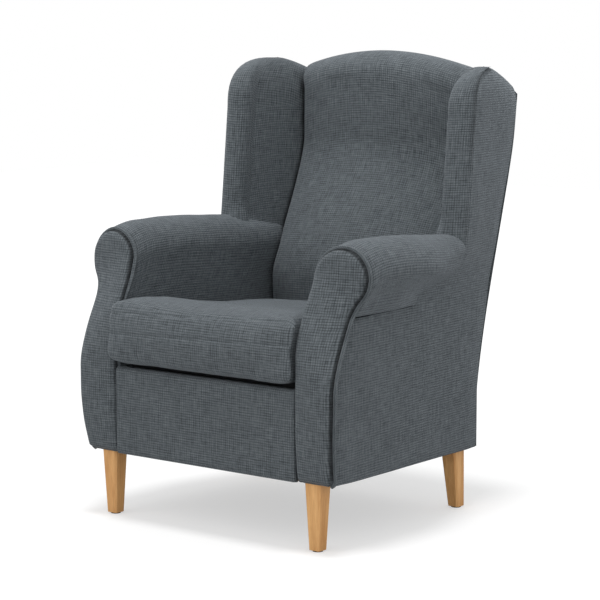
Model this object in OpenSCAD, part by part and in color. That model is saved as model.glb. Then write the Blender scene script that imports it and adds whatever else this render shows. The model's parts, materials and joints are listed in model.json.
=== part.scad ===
// Wing-back fireside chair: a board and hardwood frame, padded arms, wings and back,
// one loose seat cushion with a zip, and four tapered wooden legs.
// The front faces -Y and +Z is up. The origin is on the floor, in the middle of the footprint.
// Pieces of the right side lie at +X. Those of the left side are their mirror images.

/* [Overall size] */
// Height of the crest above the floor
chair_h = 1030; // [1000:5:1060]
// Depth from the front of the cushion to the top of the back
chair_d = 795; // [775:5:820]
// Clear width between the arms
seat_w = 504; // [480:2:540]
// Width of an arm at its rear end, from the seat to the side's outer face
arm_rear_w = 51; // [47:1:60]

/* [Arms] */
// Highest line of the arm above the floor
arm_h = 648; // [635:1:665]
// Diameter of the padded roll along the arm
arm_roll_d = 136; // [126:1:142]
// Rise of the arm's top line between its ends
arm_arch = 10; // [2:1:16]
// Width of the arm's front below its roll
arm_front_w = 104; // [98:1:110]
// How far the seam under the roll lies below the arm's highest line
arm_seam_drop = 158; // [148:1:172]
// Thickness of the padding inside the arm
inside_arm_t = 30; // [24:1:36]
// How far the front of the roll lies behind the bulge below it
face_sweep = 72; // [50:1:90]
// How far the front draws in again at its lower end
face_tuck = 13; // [0:1:20]
// Thickness of the padded arm front
facing_t = 18; // [12:1:24]
// How far the side panel sits in from the edge of the arm front
side_setback = 9; // [6:1:14]

/* [Seat] */
// Height of the seat cushion's lower front edge
cushion_low_z = 354; // [346:1:362]
// Thickness of the cushion at its seams
cushion_t = 120; // [105:1:130]
// Rise of the cushion's crown above its seams
cushion_crown = 22; // [8:1:30]
// Space between the cushion and the fullest line of the back
cushion_back_gap = 13; // [9:1:30]
// How far the cushion's sides draw in between the seams
side_draw = 7; // [6:1:12]
// Thickness of the cushion's cover with its wadding
cover_t = 6; // [3:1:10]
// Backward slope of the seat in degrees
seat_rake = 5; // [4:0.5:6]
// Top of the front border above the floor
border_top_z = 340; // [332:1:344]

/* [Back] */
// How far the rear face leans back from its bend to its top
rake_run = 165; // [140:1:180]
// Height where the rear face starts to lean
bend_z = 270; // [255:1:300]
// Depth of the back's fullest line, measured from the rear of the chair
lumbar_depth = 277; // [268:1:284]
// Depth of the upper back, measured the same way
upper_depth = 147; // [140:1:160]
// Height of the fullest line
lumbar_z = 500; // [480:5:520]
// How far the upper back's flattest line lies below the crest
upper_drop = 200; // [170:5:230]
// Crown of the back from its edges to its middle
back_crown = 42; // [20:1:46]
// Drop of the crest from its middle to the notches beside the wings
crest_drop = 43; // [30:1:55]

/* [Wings] */
// Thickness of a wing's front roll
wing_t = 66; // [58:1:72]
// How far the top of a wing lies below the top of the crest
wing_drop = 29; // [22:1:40]
// How far a wing stands out beyond the back's edge
wing_flare = 47; // [38:1:56]
// Depth of the wings, measured from the rear of the chair
wing_depth = 313; // [296:1:326]
// Radius of a wing's upper front corner
wing_corner_r = 72; // [58:1:80]
// How far the seam between arm and wing lies below the arm's highest line
wing_foot_drop = 48; // [38:1:58]

/* [Legs] */
// Underside of the seat frame above the floor
frame_z = 146; // [138:1:154]
// Width of a leg at its top
leg_top_w = 42; // [38:1:46]
// Width of a leg at its foot
leg_foot_w = 28; // [24:1:32]
// Distance of a front foot's centre from the seat's edge, outwards
front_foot_out = 36; // [33:1:39]
// Distance of a rear foot's centre from the chair's outer face, inwards
rear_foot_in = 26; // [23:1:29]
// Distance of a front foot's centre behind the front of its block
front_foot_back = 15; // [10:0.5:20]
// Distance of a rear foot's centre in front of the rear face
rear_foot_front = 41; // [36:1:46]
// Thickness of the glide under each foot
glide_t = 3; // [2:0.5:5]

/* [Frame] */
// Thickness of the seat rails
rail_t = 22; // [16:1:26]
// Height of the front rail
front_rail_h = 154; // [144:1:158]
// Height of the side rails
side_rail_h = 134; // [110:1:138]
// Width of a back post
post_w = 45; // [35:1:48]
// Depth of a back post
post_d = 38; // [32:1:42]
// Depth of an arm's front post
arm_post_d = 40; // [30:1:46]
// Thickness of the plywood in arms and wings
ply_t = 12; // [9:1:14]
// Height of the blocks that the legs are bolted to
block_h = 54; // [35:1:60]

/* [Covers] */
// Thickness of the padded outside panels
panel_t = 9; // [6:1:10]
// Thickness of the padded front border
border_t = 13; // [10:1:16]
// Radius of the piping
welt_r = 4; // [3:0.5:5]
// Thickness of the cloth under the seat frame
dust_t = 1.6; // [1:0.2:2.4]

/* [Hidden] */

// Clearance between pieces that are assembled, and overrun of cuts
gap = 0.3;
soft_gap = 0.9;
cut_over = 2;
full_turn = 360;

// Widths
seat_half = seat_w / 2;
back_half = seat_half + arm_rear_w;
back_w = 2 * back_half;
front_foot_x = seat_half + front_foot_out;
rear_foot_x = back_half - rear_foot_in;
roll_r = arm_roll_d / 2;
roll_x = seat_half + roll_r;
side_front_x = seat_half + arm_front_w - side_setback;

// Places from front to back
front_y = -chair_d / 2;
bulge_setback = 14;
border_setback = 25;
bulge_y = front_y + bulge_setback;
roll_face_y = bulge_y + face_sweep;
border_y = front_y + border_setback;
rail_y = border_y + border_t;
rear_top_y = chair_d / 2 - welt_r;
low_rear_y = rear_top_y - rake_run;
wing_front_y = chair_d / 2 - wing_depth;
rear_leg_y = low_rear_y - rear_foot_front;
cushion_len = chair_d - lumbar_depth - cushion_back_gap;

// Heights
rear_skirt_drop = 9;
skirt_front_z = frame_z;
skirt_rear_z = frame_z - rear_skirt_drop;
rear_corner_drop = 74;
rear_corner_z = chair_h - rear_corner_drop;
wing_h = chair_h - wing_drop;
upper_z = chair_h - upper_drop;
arm_seam_z = arm_h - arm_seam_drop;
wing_foot_z = arm_h - wing_foot_drop;
front_roll_top = arm_h - arm_arch;
roll_z = front_roll_top - roll_r;
rail_top_z = frame_z + front_rail_h;
block_top_z = frame_z + block_h;
ply_under_seam_t = 22;
arm_board_z = arm_seam_z - ply_under_seam_t;

// Back posts, just inside the side panels
post_out_x = back_half - panel_t - ply_t - 4 * gap;
post_in_x = post_out_x - post_w;

// How straight the rear face climbs: 0 is a straight slope and 1 an eased curve
rear_ease_share = 0.4;
// Slope of the side panels, which draw together towards the back
side_slope = (side_front_x - back_half) / (rear_y(arm_seam_z) - bulge_y);
side_taper = atan(side_slope);

function lerp(a, b, t) = a + (b - a) * t;
function limit(t) = max(0, min(1, t));
function ease(t) = let (c = limit(t)) c * c * (3 - 2 * c);
function steps(a, b, n) = [for (i = [0:n]) lerp(a, b, i / n)];

// Rear face of the chair: upright at the bottom, then leaning back
function rear_y(z) = let (t = limit((z - bend_z) / (rear_corner_z - bend_z)))
    low_rear_y + rake_run * lerp(t, ease(t), rear_ease_share);
function panel_front_y(z) = rear_y(z) - panel_t - gap;
function post_front_y(z) = panel_front_y(z) - post_d;
web_t = 2;
function pad_rear_y(z) = post_front_y(z) - web_t - 2 * gap;

// Front face of the arm: it bulges low down and sweeps back to the roll
sweep_low_share = 0.48;
sweep_low_z = lerp(frame_z, roll_z, sweep_low_share);
sweep_top_share = 0.3;
sweep_top_z = roll_z + roll_r * sweep_top_share;
tuck_share = 0.31;
tuck_z = lerp(frame_z, roll_z, tuck_share);
function face_y(z) = z < tuck_z
    ? bulge_y + face_tuck * pow((tuck_z - z) / (tuck_z - skirt_front_z), 2)
    : lerp(bulge_y, roll_face_y, ease((z - sweep_low_z) / (sweep_top_z - sweep_low_z)));
function board_y(z) = face_y(z) + facing_t;
function arm_pad_y(z) = board_y(z) + ply_t + gap;

// Outer faces of the side: a flat lower panel, and a wing that flares above the arm's seam
function side_low_x(y) = side_front_x - (y - bulge_y) * side_slope;
wing_out_x = back_half + wing_flare;
wing_r = wing_t / 2;
wing_x = wing_out_x - wing_r;
wing_lean_share = 0.1;
flare_top_z = arm_h + (arm_h - wing_foot_z) / 4;
function fold_y(z) = wing_front_y + wing_r + (z - arm_h) * wing_lean_share;
function wing_side_x(y, z) = let (
        flare = ease((z - arm_seam_z) / (flare_top_z - arm_seam_z)),
        front_x = lerp(side_low_x(fold_y(z)), wing_out_x, flare),
        t = limit((y - fold_y(z)) / (rear_y(z) - fold_y(z))))
    lerp(front_x, lerp(side_low_x(rear_y(z)), back_half, flare), t);
function wing_board_x(y, z) = wing_side_x(y, z) - panel_t - 2 * gap;
function wing_core_x(y, z) = wing_board_x(y, z) - ply_t - soft_gap;

// Top of the back and of the wings
notch_clear = 6.6;
notch_x = post_in_x + notch_clear;
function crest_z(x) = chair_h - crest_drop * pow(x / notch_x, 2);
wing_top_share = 0.61;
wing_top_y = wing_front_y + wing_depth * wing_top_share;
wing_fall = 50;
fall_power = 1.4;
wing_body_top_z = wing_h - wing_corner_r;
wing_turns = [20, 40, 60, 75, 84];
function fall_share(z) = ease((z - flare_top_z) / (wing_h - flare_top_z));
// Front end of a wing's outer panel, which follows the rounded corner
function wing_edge_y(z) = let (up = limit((z - wing_body_top_z) / wing_corner_r))
    fold_y(min(z, wing_body_top_z)) + wing_corner_r * (1 - sqrt(1 - up * up));
function wing_fall_at(y) = wing_fall * pow(max(0, (y - wing_top_y) / (rear_top_y - wing_top_y)), fall_power);

// Closed solid through rings that all have the same number of points
module loft(rings) {
    n = len(rings[0]);
    last = len(rings) - 1;
    points = concat([for (ring = rings) each ring],
        [for (k = [0, last]) [for (c = [0:2]) ring_middle(rings[k], c)]]);
    low = n * (last + 1);
    sides = [for (i = [0:last - 1], j = [0:n - 1])
        let (a = i * n + j, b = i * n + (j + 1) % n)
        each [[a, b + n, b], [a, a + n, b + n]]];
    low_cap = [for (j = [0:n - 1]) [low, j, (j + 1) % n]];
    top_cap = [for (j = [0:n - 1]) [low + 1, last * n + (j + 1) % n, last * n + j]];
    polyhedron(points, concat(sides, low_cap, top_cap));
}
function sum(v, i = 0) = i == len(v) ? 0 : v[i] + sum(v, i + 1);
function ring_middle(ring, c) = sum([for (p = ring) p[c]]) / len(ring);

// Round tube along a route of points, with flat ends
module tube_along(route, r, sides) {
    last = len(route) - 1;
    loft([for (i = [0:last]) let (
            way = unit(route[min(i + 1, last)] - route[max(i - 1, 0)]),
            u = unit(cross(way, abs(way[0]) > 0.9 ? [0, 0, 1] : [1, 0, 0])),
            v = cross(way, u))
        [for (k = [0:sides - 1]) let (a = full_turn * k / sides) route[i] + r * (cos(a) * u + sin(a) * v)]]);
}
function unit(v) = v / norm(v);

// Slab between two lines seen from the side, as wide as w along X from x0
module side_slab(x0, w, outline)
    translate([x0, 0, 0]) rotate([90, 0, 90]) linear_extrude(w) polygon(outline);
// Slab between two depths, with an outline seen from the front
module front_slab(y0, d, outline)
    translate([0, y0 + d, 0]) rotate([90, 0, 0]) linear_extrude(d) polygon(outline);
module left() mirror([1, 0, 0]) children();
module both_sides() {
    children();
    left() children();
}
// Places children on the outer face of the lower side: Y runs back along it, X points out
function side_run(y, depth) = (y - bulge_y + depth * sin(side_taper)) / cos(side_taper);
module on_side() translate([side_front_x, bulge_y, 0]) rotate([0, 0, side_taper]) children();

frame_colour = "burlywood";
ply_colour = "tan";
fabric_colour = [0.36, 0.39, 0.42];
panel_colour = [0.32, 0.35, 0.38];
dark_cloth = [0.12, 0.12, 0.13];
leg_colour = [0.78, 0.56, 0.33];
steel_colour = "silver";

// Seat frame
border_half = seat_half - welt_r - 2 * gap;
module front_rail()
    color(frame_colour) translate([-border_half, rail_y, frame_z])
        cube([2 * border_half, rail_t, front_rail_h]);

front_block_front_y = board_y(frame_z) + gap;
front_leg_y = front_block_front_y + front_foot_back;
front_block_d = 60;
front_block_rear_y = front_block_front_y + front_block_d;
rear_block_reach = 30;
rear_block_front_y = rear_leg_y - rear_block_reach;
rear_block_rear_y = low_rear_y - panel_t - gap;

rear_rail_top_z = rail_top_z - (rear_block_rear_y - rail_t - rail_y) * tan(seat_rake);
module rear_rail()
    color(frame_colour) translate([gap - post_in_x, rear_block_rear_y - rail_t, frame_z])
        cube([2 * post_in_x - 2 * gap, rail_t, rear_rail_top_z - frame_z]);

// The side rails run between the leg blocks, along the inner faces of the side panels
side_line_in = panel_t + 3 * gap;
module right_side_rail()
    color(frame_colour) on_side() translate([-side_line_in - rail_t, 0, frame_z])
        let (start = side_run(front_block_rear_y + gap, side_line_in + rail_t),
            end = side_run(rear_block_front_y - gap, side_line_in))
        translate([0, start, 0]) cube([rail_t, end - start, side_rail_h]);
module left_side_rail() left() right_side_rail();

insert_r = 6;
insert_h = 18;
bolt_r = 4;
module leg_blocks()
    color(frame_colour) both_sides() {
        difference() {
            block([front_foot_x, front_leg_y], border_half + gap, front_block_front_y, front_block_rear_y);
            translate([seat_half - welt_notch, front_block_front_y - cut_over, frame_z - cut_over])
                cube([2 * welt_notch, welt_notch * 2 + cut_over, block_h + 2 * cut_over]);
        }
        block([rear_foot_x - rear_shift, rear_leg_y - rear_shift], post_in_x,
            rear_block_front_y, rear_block_rear_y);
    }
welt_notch = welt_r + gap;
module block(foot, in_x, y0, y1)
    difference() {
        translate([0, 0, frame_z]) linear_extrude(block_h)
            polygon([[in_x, y0], [side_low_x(y0) - side_line_in, y0],
                [side_low_x(y1) - side_line_in, y1], [in_x, y1]]);
        translate([foot[0], foot[1], frame_z - cut_over])
            cylinder(r = insert_r, h = insert_h + 2 * cut_over, $fn = 48);
    }

// Back frame: two raked posts with a crest rail and a lower rail between them
function rake_band(low, top, n, near, far) = concat(
    [for (z = steps(low, top, n)) [rear_y(z) - near, z]],
    [for (z = steps(top, low, n)) [rear_y(z) - far, z]]);
post_top_z = wing_body_top_z - wing_fall;
module right_back_post()
    color(frame_colour) side_slab(post_in_x, post_w, concat(
        [for (z = concat([block_top_z + gap], steps(bend_z, post_top_z, 12))) [panel_front_y(z), z]],
        [for (z = concat(steps(post_top_z, bend_z, 12), [block_top_z + gap])) [post_front_y(z), z]]));
module left_back_post() left() right_back_post();

crest_rail_low_z = post_top_z - rail_t;
crest_cover = 38;
module crest_rail()
    color(frame_colour) intersection() {
        front_slab(low_rear_y - post_d, rake_run + post_d, concat(
            [[post_in_x, crest_rail_low_z]],
            [for (x = steps(post_in_x, -post_in_x, 12)) [x, crest_z(x) - crest_cover]],
            [[-post_in_x, crest_rail_low_z]]));
        side_slab(-post_in_x - cut_over, 2 * post_in_x + 2 * cut_over,
            rake_band(crest_rail_low_z - cut_over, chair_h, 6, panel_t + 3 * gap, panel_t + 3 * gap + rail_t));
    }

lower_rail_z = cushion_low_z + rail_t / 2;
lower_rail_h = 60;
module lower_back_rail()
    color(frame_colour) side_slab(-post_in_x, 2 * post_in_x, rake_band(lower_rail_z,
        lower_rail_z + lower_rail_h, 3, panel_t + gap, panel_t + gap + rail_t));

web_count = 6;
web_share = 0.65;
web_pitch = (crest_rail_low_z - lower_rail_z - lower_rail_h) / web_count;
web_w = web_pitch * web_share;
module back_webbing()
    color("dimgray") for (k = [0:web_count - 1]) {
        low = lower_rail_z + lower_rail_h + web_pitch * k + (web_pitch - web_w) / 2;
        side_slab(-post_out_x + web_t, 2 * (post_out_x - web_t), rake_band(low, low + web_w, 4,
            panel_t + post_d + 2 * gap, panel_t + post_d + 2 * gap + web_t));
    }

// Arm frame: shaped front post, arm board on top of it and a tack rail at seat height
arm_inner_x = seat_half + inside_arm_t;
function face_band(low, top, n, near, far) = concat(
    [for (z = steps(low, top, n)) [face_y(z) + near, z]],
    [for (z = steps(top, low, n)) [face_y(z) + far, z]]);
arm_post_near = facing_t + ply_t + 2 * gap;
arm_post_rear_y = face_y(arm_board_z) + arm_post_near + arm_post_d;
arm_post_w = side_low_x(arm_post_rear_y) - side_line_in - arm_inner_x - 2 * gap;
module right_arm_post()
    color(frame_colour) side_slab(arm_inner_x + gap, arm_post_w, face_band(block_top_z + gap,
        arm_board_z - gap, 14, arm_post_near, arm_post_near + arm_post_d));
module left_arm_post() left() right_arm_post();

module right_arm_board()
    color(frame_colour) translate([0, 0, arm_board_z]) linear_extrude(ply_under_seam_t - gap) let (
            y0 = arm_pad_y(arm_seam_z) + gap,
            y1 = pad_rear_y(arm_board_z),
            x0 = arm_inner_x + gap)
        polygon([[x0, y0], [side_low_x(y0) - side_line_in, y0],
            [side_low_x(y1) - side_line_in, y1], [x0, y1]]);
module left_arm_board() left() right_arm_board();

tack_w = 11;
tack_h = 35;
module right_arm_tack_rail()
    color(frame_colour) translate([arm_inner_x + gap,
            face_y(rail_top_z) + arm_post_near + arm_post_d + 4 * gap, rail_top_z])
        cube([tack_w, post_front_y(rail_top_z) - 2 * gap
            - face_y(rail_top_z) - arm_post_near - arm_post_d - 4 * gap, tack_h]);
module left_arm_tack_rail() left() right_arm_tack_rail();

// Arm front seen from the front: a straight inner edge and a round roll over a narrower panel
neck_angle = -38;
foot_draw_share = 0.86;
belly_share = 0.45;
neck_share = 0.62;
neck_blend_share = 0.3;
function facing_outline(inset, low = skirt_front_z) = let (
        r = roll_r - inset,
        in_x = seat_half + inset,
        out_x = seat_half + arm_front_w - inset,
        foot_x = seat_half + arm_front_w * foot_draw_share - inset,
        belly_z = lerp(skirt_front_z, roll_z, belly_share),
        neck_z = lerp(belly_z, roll_z, neck_share))
    concat([for (z = steps(low, roll_z, 12)) [in_x, z]],
        [for (i = [1:16]) let (a = lerp(180, neck_angle, i / 16))
            [roll_x + r * cos(a), roll_z + r * sin(a)]],
        [[lerp(out_x, roll_x + r * cos(neck_angle), neck_blend_share),
            (neck_z + roll_z + r * sin(neck_angle)) / 2], [out_x - gap, neck_z]],
        [for (t = steps(0, 1, 5)) [lerp(out_x, foot_x, t * t), lerp(belly_z, low, t)]]);
module arm_front(inset, low, near, thick)
    intersection() {
        front_slab(bulge_y - cut_over, face_sweep + 4 * facing_t, facing_outline(inset, low));
        side_slab(seat_half - cut_over, arm_roll_d + 2 * cut_over,
            face_band(skirt_front_z - cut_over, front_roll_top + cut_over, 24, near, near + thick));
    }
// The facing's padding wraps round the edge of its plywood board
board_inset = 14;
module right_arm_facing()
    color(fabric_colour) {
        arm_front(0, skirt_front_z, 0, facing_t);
        difference() {
            arm_front(welt_r + gap, block_top_z + gap, facing_t - cut_over, ply_t + cut_over);
            arm_front(board_inset - gap, block_top_z - cut_over, facing_t - 2 * cut_over, ply_t + 4 * cut_over);
        }
    }
module left_arm_facing() left() right_arm_facing();
module right_facing_board()
    color(ply_colour) arm_front(board_inset, block_top_z + gap, facing_t + gap, ply_t - gap);
module left_facing_board() left() right_facing_board();
module right_facing_welt()
    color(panel_colour) tube_along([for (p = facing_outline(0)) [p[0], face_y(p[1]) + facing_t + welt_r + 3 * gap,
        p[1]]], welt_r, 6);
module left_facing_welt() left() right_facing_welt();

// Padded roll: it arches from the front to the wing, then lies flat under the wing
roll_peak_share = 0.3;
fade_len = 25;
fade_end_y = fold_y(wing_foot_z) - wing_r - gap;
roll_start_y = arm_pad_y(arm_seam_z) - cut_over;
roll_stop_y = pad_rear_y(wing_foot_z) + cut_over;
roll_shares = [0, 0.06, 0.15, 0.27, 0.42, 0.6, 0.8];
roll_depths = concat([for (t = roll_shares) lerp(roll_start_y, fade_end_y - fade_len, t)],
    steps(fade_end_y - fade_len, fade_end_y, 3), [lerp(fade_end_y, roll_stop_y, 0.5), roll_stop_y]);
function roll_rise(y) = let (t = limit((y - roll_start_y) / (fade_end_y - roll_start_y)))
    arm_arch * sin(90 * (t < roll_peak_share ? t / roll_peak_share : (1 - t) / (1 - roll_peak_share)));
// Under the wing the roll turns into a block: up its inner side, across and down its outer side
function block_ring(y, n) = let (
        out_x = function (z) wing_core_x(y, z) - gap,
        rise = steps(arm_seam_z, wing_foot_z, 4),
        across = steps(seat_half, out_x(wing_foot_z), 6))
    concat([for (z = rise) [seat_half, y, z]],
        [for (i = [1:5]) [across[i], y, wing_foot_z]],
        [for (i = [4:-1:0]) [out_x(rise[i]), y, rise[i]]],
        [for (i = [1:n - 15]) [lerp(out_x(arm_seam_z), seat_half, i / (n - 14)), y, arm_seam_z]]);
function roll_ring(y) = let (
        cz = roll_z + roll_rise(y),
        arc = [for (a = steps(180, neck_angle, 14)) [roll_x + roll_r * cos(a), y, cz + roll_r * sin(a)]],
        neck_x = seat_half + arm_front_w - side_setback,
        ring = concat([[seat_half, y, arm_seam_z]], arc,
            [[neck_x, y, arm_seam_z], [lerp(seat_half, neck_x, 0.5), y, arm_seam_z]]),
        flat = block_ring(max(y, fade_end_y), len(ring)),
        fade = ease((y - fade_end_y + fade_len) / fade_len))
    [for (i = [0:len(ring) - 1]) let (p = lerp(ring[i], flat[i], fade)) [p[0], y, p[2]]];
module right_arm_roll()
    color(fabric_colour) intersection() {
        loft([for (y = roll_depths) roll_ring(y)]);
        side_slab(seat_half - cut_over, arm_roll_d + 2 * cut_over, concat(
            [for (z = steps(skirt_front_z - cut_over, front_roll_top + cut_over, 24)) [arm_pad_y(z), z]],
            [[arm_pad_y(front_roll_top), arm_h + arm_roll_d]],
            [[pad_rear_y(arm_h), arm_h + arm_roll_d]],
            [for (z = steps(arm_h, arm_seam_z - arm_arch, 6)) [pad_rear_y(z), z]]));
    }
module left_arm_roll() left() right_arm_roll();

// Padding on the arm's inner side, from the seat deck up to the roll
inside_low_z = rail_top_z;
module right_inside_arm()
    color(fabric_colour) side_slab(seat_half, inside_arm_t, concat(
        [for (z = steps(inside_low_z, arm_seam_z - gap, 10)) [arm_pad_y(z), z]],
        [for (z = steps(arm_seam_z - gap, inside_low_z, 6)) [pad_rear_y(z), z]]));
module left_inside_arm() left() right_inside_arm();

// Flat panel that closes the side below the roll
module right_outside_arm()
    color(panel_colour) on_side() side_slab(-panel_t, panel_t, concat(
        [for (z = steps(skirt_front_z, arm_seam_z - gap, 14)) [side_run(arm_pad_y(z) + gap, panel_t), z]],
        [for (z = concat(steps(arm_seam_z - gap, bend_z, 6), [skirt_rear_z]))
            [side_run(panel_front_y(z), 0), z]]));
module left_outside_arm() left() right_outside_arm();

// Outside of the wing, which flares out from the side panel, and the plywood behind it
function wing_skin_ring(z, near, thick) = let (
        row = [for (t = steps(0, 1, 4)) let (
                zf = z - fall_share(z) * wing_fall_at(lerp(wing_edge_y(z), panel_front_y(z), t)))
            [lerp(wing_edge_y(z) + soft_gap, panel_front_y(zf), t), zf]])
    concat([for (p = row) [wing_side_x(p[0], p[1]) - near, p[0], p[1]]],
        [for (i = [4:-1:0]) let (p = row[i]) [wing_side_x(p[0], p[1]) - near - thick, p[0], p[1]]]);
module wing_skin(near, thick)
    loft([for (z = concat(steps(arm_seam_z, wing_body_top_z, 8),
            [for (i = [0, 1]) wing_body_top_z + wing_corner_r * sin(wing_turns[i])]))
        wing_skin_ring(z, near, thick)]);
module right_outside_wing()
    color(panel_colour) wing_skin(0, panel_t);
module left_outside_wing() left() right_outside_wing();
module right_wing_board()
    color(ply_colour) wing_skin(panel_t + 2 * gap, ply_t);
module left_wing_board() left() right_wing_board();

// Wing: a round front roll, a flat inner face and a rounded top that falls to the back
wing_rear_in_x = notch_x - welt_r / 2;
wing_thin_share = 0.92;
function wing_ring(z, turn, over_post) = let (
        f = lerp(1, cos(turn), wing_thin_share),
        zz = z + wing_corner_r * sin(turn),
        w = fall_share(zz),
        cy = wing_edge_y(zz),
        rear_z = zz - w * wing_fall_at(over_post ? panel_front_y(zz) : pad_rear_y(zz)),
        yr = over_post ? panel_front_y(rear_z) : pad_rear_y(rear_z),
        arc = [for (a = steps(180, full_turn, 8)) [wing_x + wing_r * f * cos(a), cy + wing_r * f * sin(a)]],
        rows = [for (y = steps(cy, yr, 3)) let (
                out_x = wing_core_x(y, rear_z),
                t = limit((y - fold_y(z)) / (pad_rear_y(z) - fold_y(z))),
                in_x = lerp(wing_x - wing_r, wing_rear_in_x, t),
                mid = (in_x + out_x) / 2)
            [y, lerp(mid, in_x, f), lerp(mid, out_x, f)]])
    [for (p = concat(arc,
            [for (i = [0:3]) [rows[i][2], rows[i][0]]],
            [for (i = [3:-1:1]) [rows[i][1], rows[i][0]]]))
        [p[0], p[1], zz - w * wing_fall_at(p[1])]];
module right_wing_pad()
    color(fabric_colour) loft(concat(
        [for (z = steps(wing_foot_z + gap, wing_body_top_z, 5)) wing_ring(z, 0, false)],
        [wing_ring(wing_body_top_z + gap, 0, true)],
        [for (turn = wing_turns) wing_ring(wing_body_top_z, turn, true)]));
module left_wing_pad() left() right_wing_pad();

// Back pad: fullest low down, drawn back above, crowned across and rolled over at the crest
lumbar_y = chair_d / 2 - lumbar_depth;
upper_y = chair_d / 2 - upper_depth;
low_half = seat_half - welt_r;
top_half = wing_rear_in_x - 2 * gap;
back_low_z = cushion_plane_z(lumbar_y);
crest_r = 60;
tuck_back = 20;
rise_share = 0.3;
crown_power = 2.6;
function back_mid_y(z) = z < lumbar_z
    ? lumbar_y + tuck_back * pow((lumbar_z - z) / (lumbar_z - back_low_z), 2)
    : lerp(lumbar_y, upper_y, ease((z - lumbar_z) / (upper_z - lumbar_z)));
function back_half_at(z) = lerp(low_half, top_half, ease((z - arm_seam_z) / (wing_foot_z - arm_seam_z)));
front_steps = 14;
function back_ring(z, turn, over_rail) = let (
        hw = back_half_at(z),
        yf = back_mid_y(z) + crest_r * (1 - cos(turn)),
        zz = z + crest_r * sin(turn),
        round = welt_r * 2,
        w = ease((zz - upper_z) / (chair_h - crest_r - upper_z)),
        flat = cos(turn))
    concat(
        [for (x = steps(-hw, hw, front_steps))
            [x, yf + back_crown * flat * pow(abs(x / hw), crown_power), zz - w * (chair_h - crest_z(x))]],
        [for (x = steps(hw, -hw, front_steps / 2)) let (
                zf = zz - w * (chair_h - crest_z(x)),
                rear = over_rail ? panel_front_y(zf) - 2 * panel_t * (1 - flat) : pad_rear_y(zf))
            [x, rear - (abs(x) == hw ? round : 0), zf]]);
shelf_gap = 1.5;
turn_step = 0.5;
crest_turns = [40, 60, 75, 90];
crest_shelf_z = chair_h - crest_cover + shelf_gap;
crest_turn = asin((crest_shelf_z - (chair_h - crest_r)) / crest_r);
module back_pad()
    color(fabric_colour) loft(concat(
        [for (z = steps(back_low_z, upper_z, 9)) back_ring(z, 0, false)],
        [for (z = steps(lerp(upper_z, chair_h - crest_r, rise_share), chair_h - crest_r, 3)) back_ring(z, 0, false)],
        [back_ring(chair_h - crest_r, crest_turn, false), back_ring(chair_h - crest_r, crest_turn + turn_step, true)],
        [for (turn = crest_turns) back_ring(chair_h - crest_r, turn, true)]));

// Panel that closes the rear, with its arched top, and the piping along its edge
back_edge_drop = 8;
function back_edge(inset) = concat(
    [[back_half - inset, skirt_rear_z], [back_half - inset, rear_corner_z - 3 * inset - panel_t]],
    [for (x = steps(notch_x, -notch_x, 12)) [x, crest_z(x) - back_edge_drop - inset]],
    [[inset - back_half, rear_corner_z - 3 * inset - panel_t], [inset - back_half, skirt_rear_z]]);
module outside_back()
    color(panel_colour) intersection() {
        front_slab(low_rear_y - 2 * panel_t, rake_run + 3 * panel_t, back_edge(2 * welt_r));
        side_slab(-back_half, back_w, concat(
            [for (z = concat([skirt_rear_z - cut_over], steps(bend_z, rear_corner_z, 12), [chair_h]))
                [rear_y(z) - panel_t, z]],
            [for (z = concat([chair_h], steps(rear_corner_z, bend_z, 12), [skirt_rear_z - cut_over]))
                [rear_y(z), z]]));
    }
module back_welt() {
    edge = back_edge(welt_r);
    side = [for (z = concat([skirt_rear_z], steps(bend_z, edge[1][1], 10))) [edge[0][0], z]];
    over = [for (i = [2:len(edge) - 3]) edge[i]];
    route = concat(side, over, [for (i = [len(side) - 1:-1:0]) [-side[i][0], side[i][1]]]);
    color(panel_colour) tube_along([for (p = route) [p[0], rear_y(p[1]) + gap, p[1]]], welt_r - gap, 6);
}

// Front border below the cushion, with a stuffed lip on the rail
lip_clear = 10;
border_lip = rail_t - lip_clear;
lip_r = 8;
module front_border()
    color(fabric_colour) side_slab(-border_half, 2 * border_half, concat(
        [[border_y, skirt_front_z]],
        [for (a = steps(180, 90, 5)) [border_y + lip_r + lip_r * cos(a), border_top_z - lip_r + lip_r * sin(a)]],
        [[rail_y + border_lip, border_top_z], [rail_y + border_lip, rail_top_z + gap],
            [rail_y - gap, rail_top_z + gap], [rail_y - gap, skirt_front_z]]));

// Zigzag seat springs: their ends are held in clips on the front and rear rails
wire_r = 1.9;
clip_t = 1.5;
spring_w = 44;
spring_count = 4;
spring_pitch_share = 0.254;
spring_waves = 10;
wave_steps = 6;
wave_back = 5;
spring_seat = wire_r + clip_t + 2 * gap;
spring_front_y = rail_y + rail_t - spring_seat;
spring_rear_y = rear_block_rear_y - rail_t + spring_seat;
function spring_x(k) = (k - (spring_count - 1) / 2) * spring_pitch_share * seat_w;
function spring_z(y) = rail_top_z + spring_seat - (y - spring_front_y) * tan(seat_rake);
clip_l = 16;
function spring_route(k) = let (
        y0 = spring_front_y + spring_w / 4,
        y1 = spring_rear_y - spring_w / 4,
        n = spring_waves * wave_steps)
    concat([[-clip_l / 2, spring_front_y], [clip_l / 2, spring_front_y]],
        [for (i = [0:n]) let (t = full_turn * spring_waves * i / n)
            [spring_w / 2 * cos(t), lerp(y0, y1, i / n) + wave_back * sin(2 * t)]],
        [[clip_l / 2, spring_rear_y], [-clip_l / 2, spring_rear_y]]);
module seat_springs()
    color(steel_colour) for (k = [0:spring_count - 1])
        tube_along([for (p = spring_route(k)) [p[0] + spring_x(k), p[1], spring_z(p[1])]], wire_r, 5);
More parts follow.
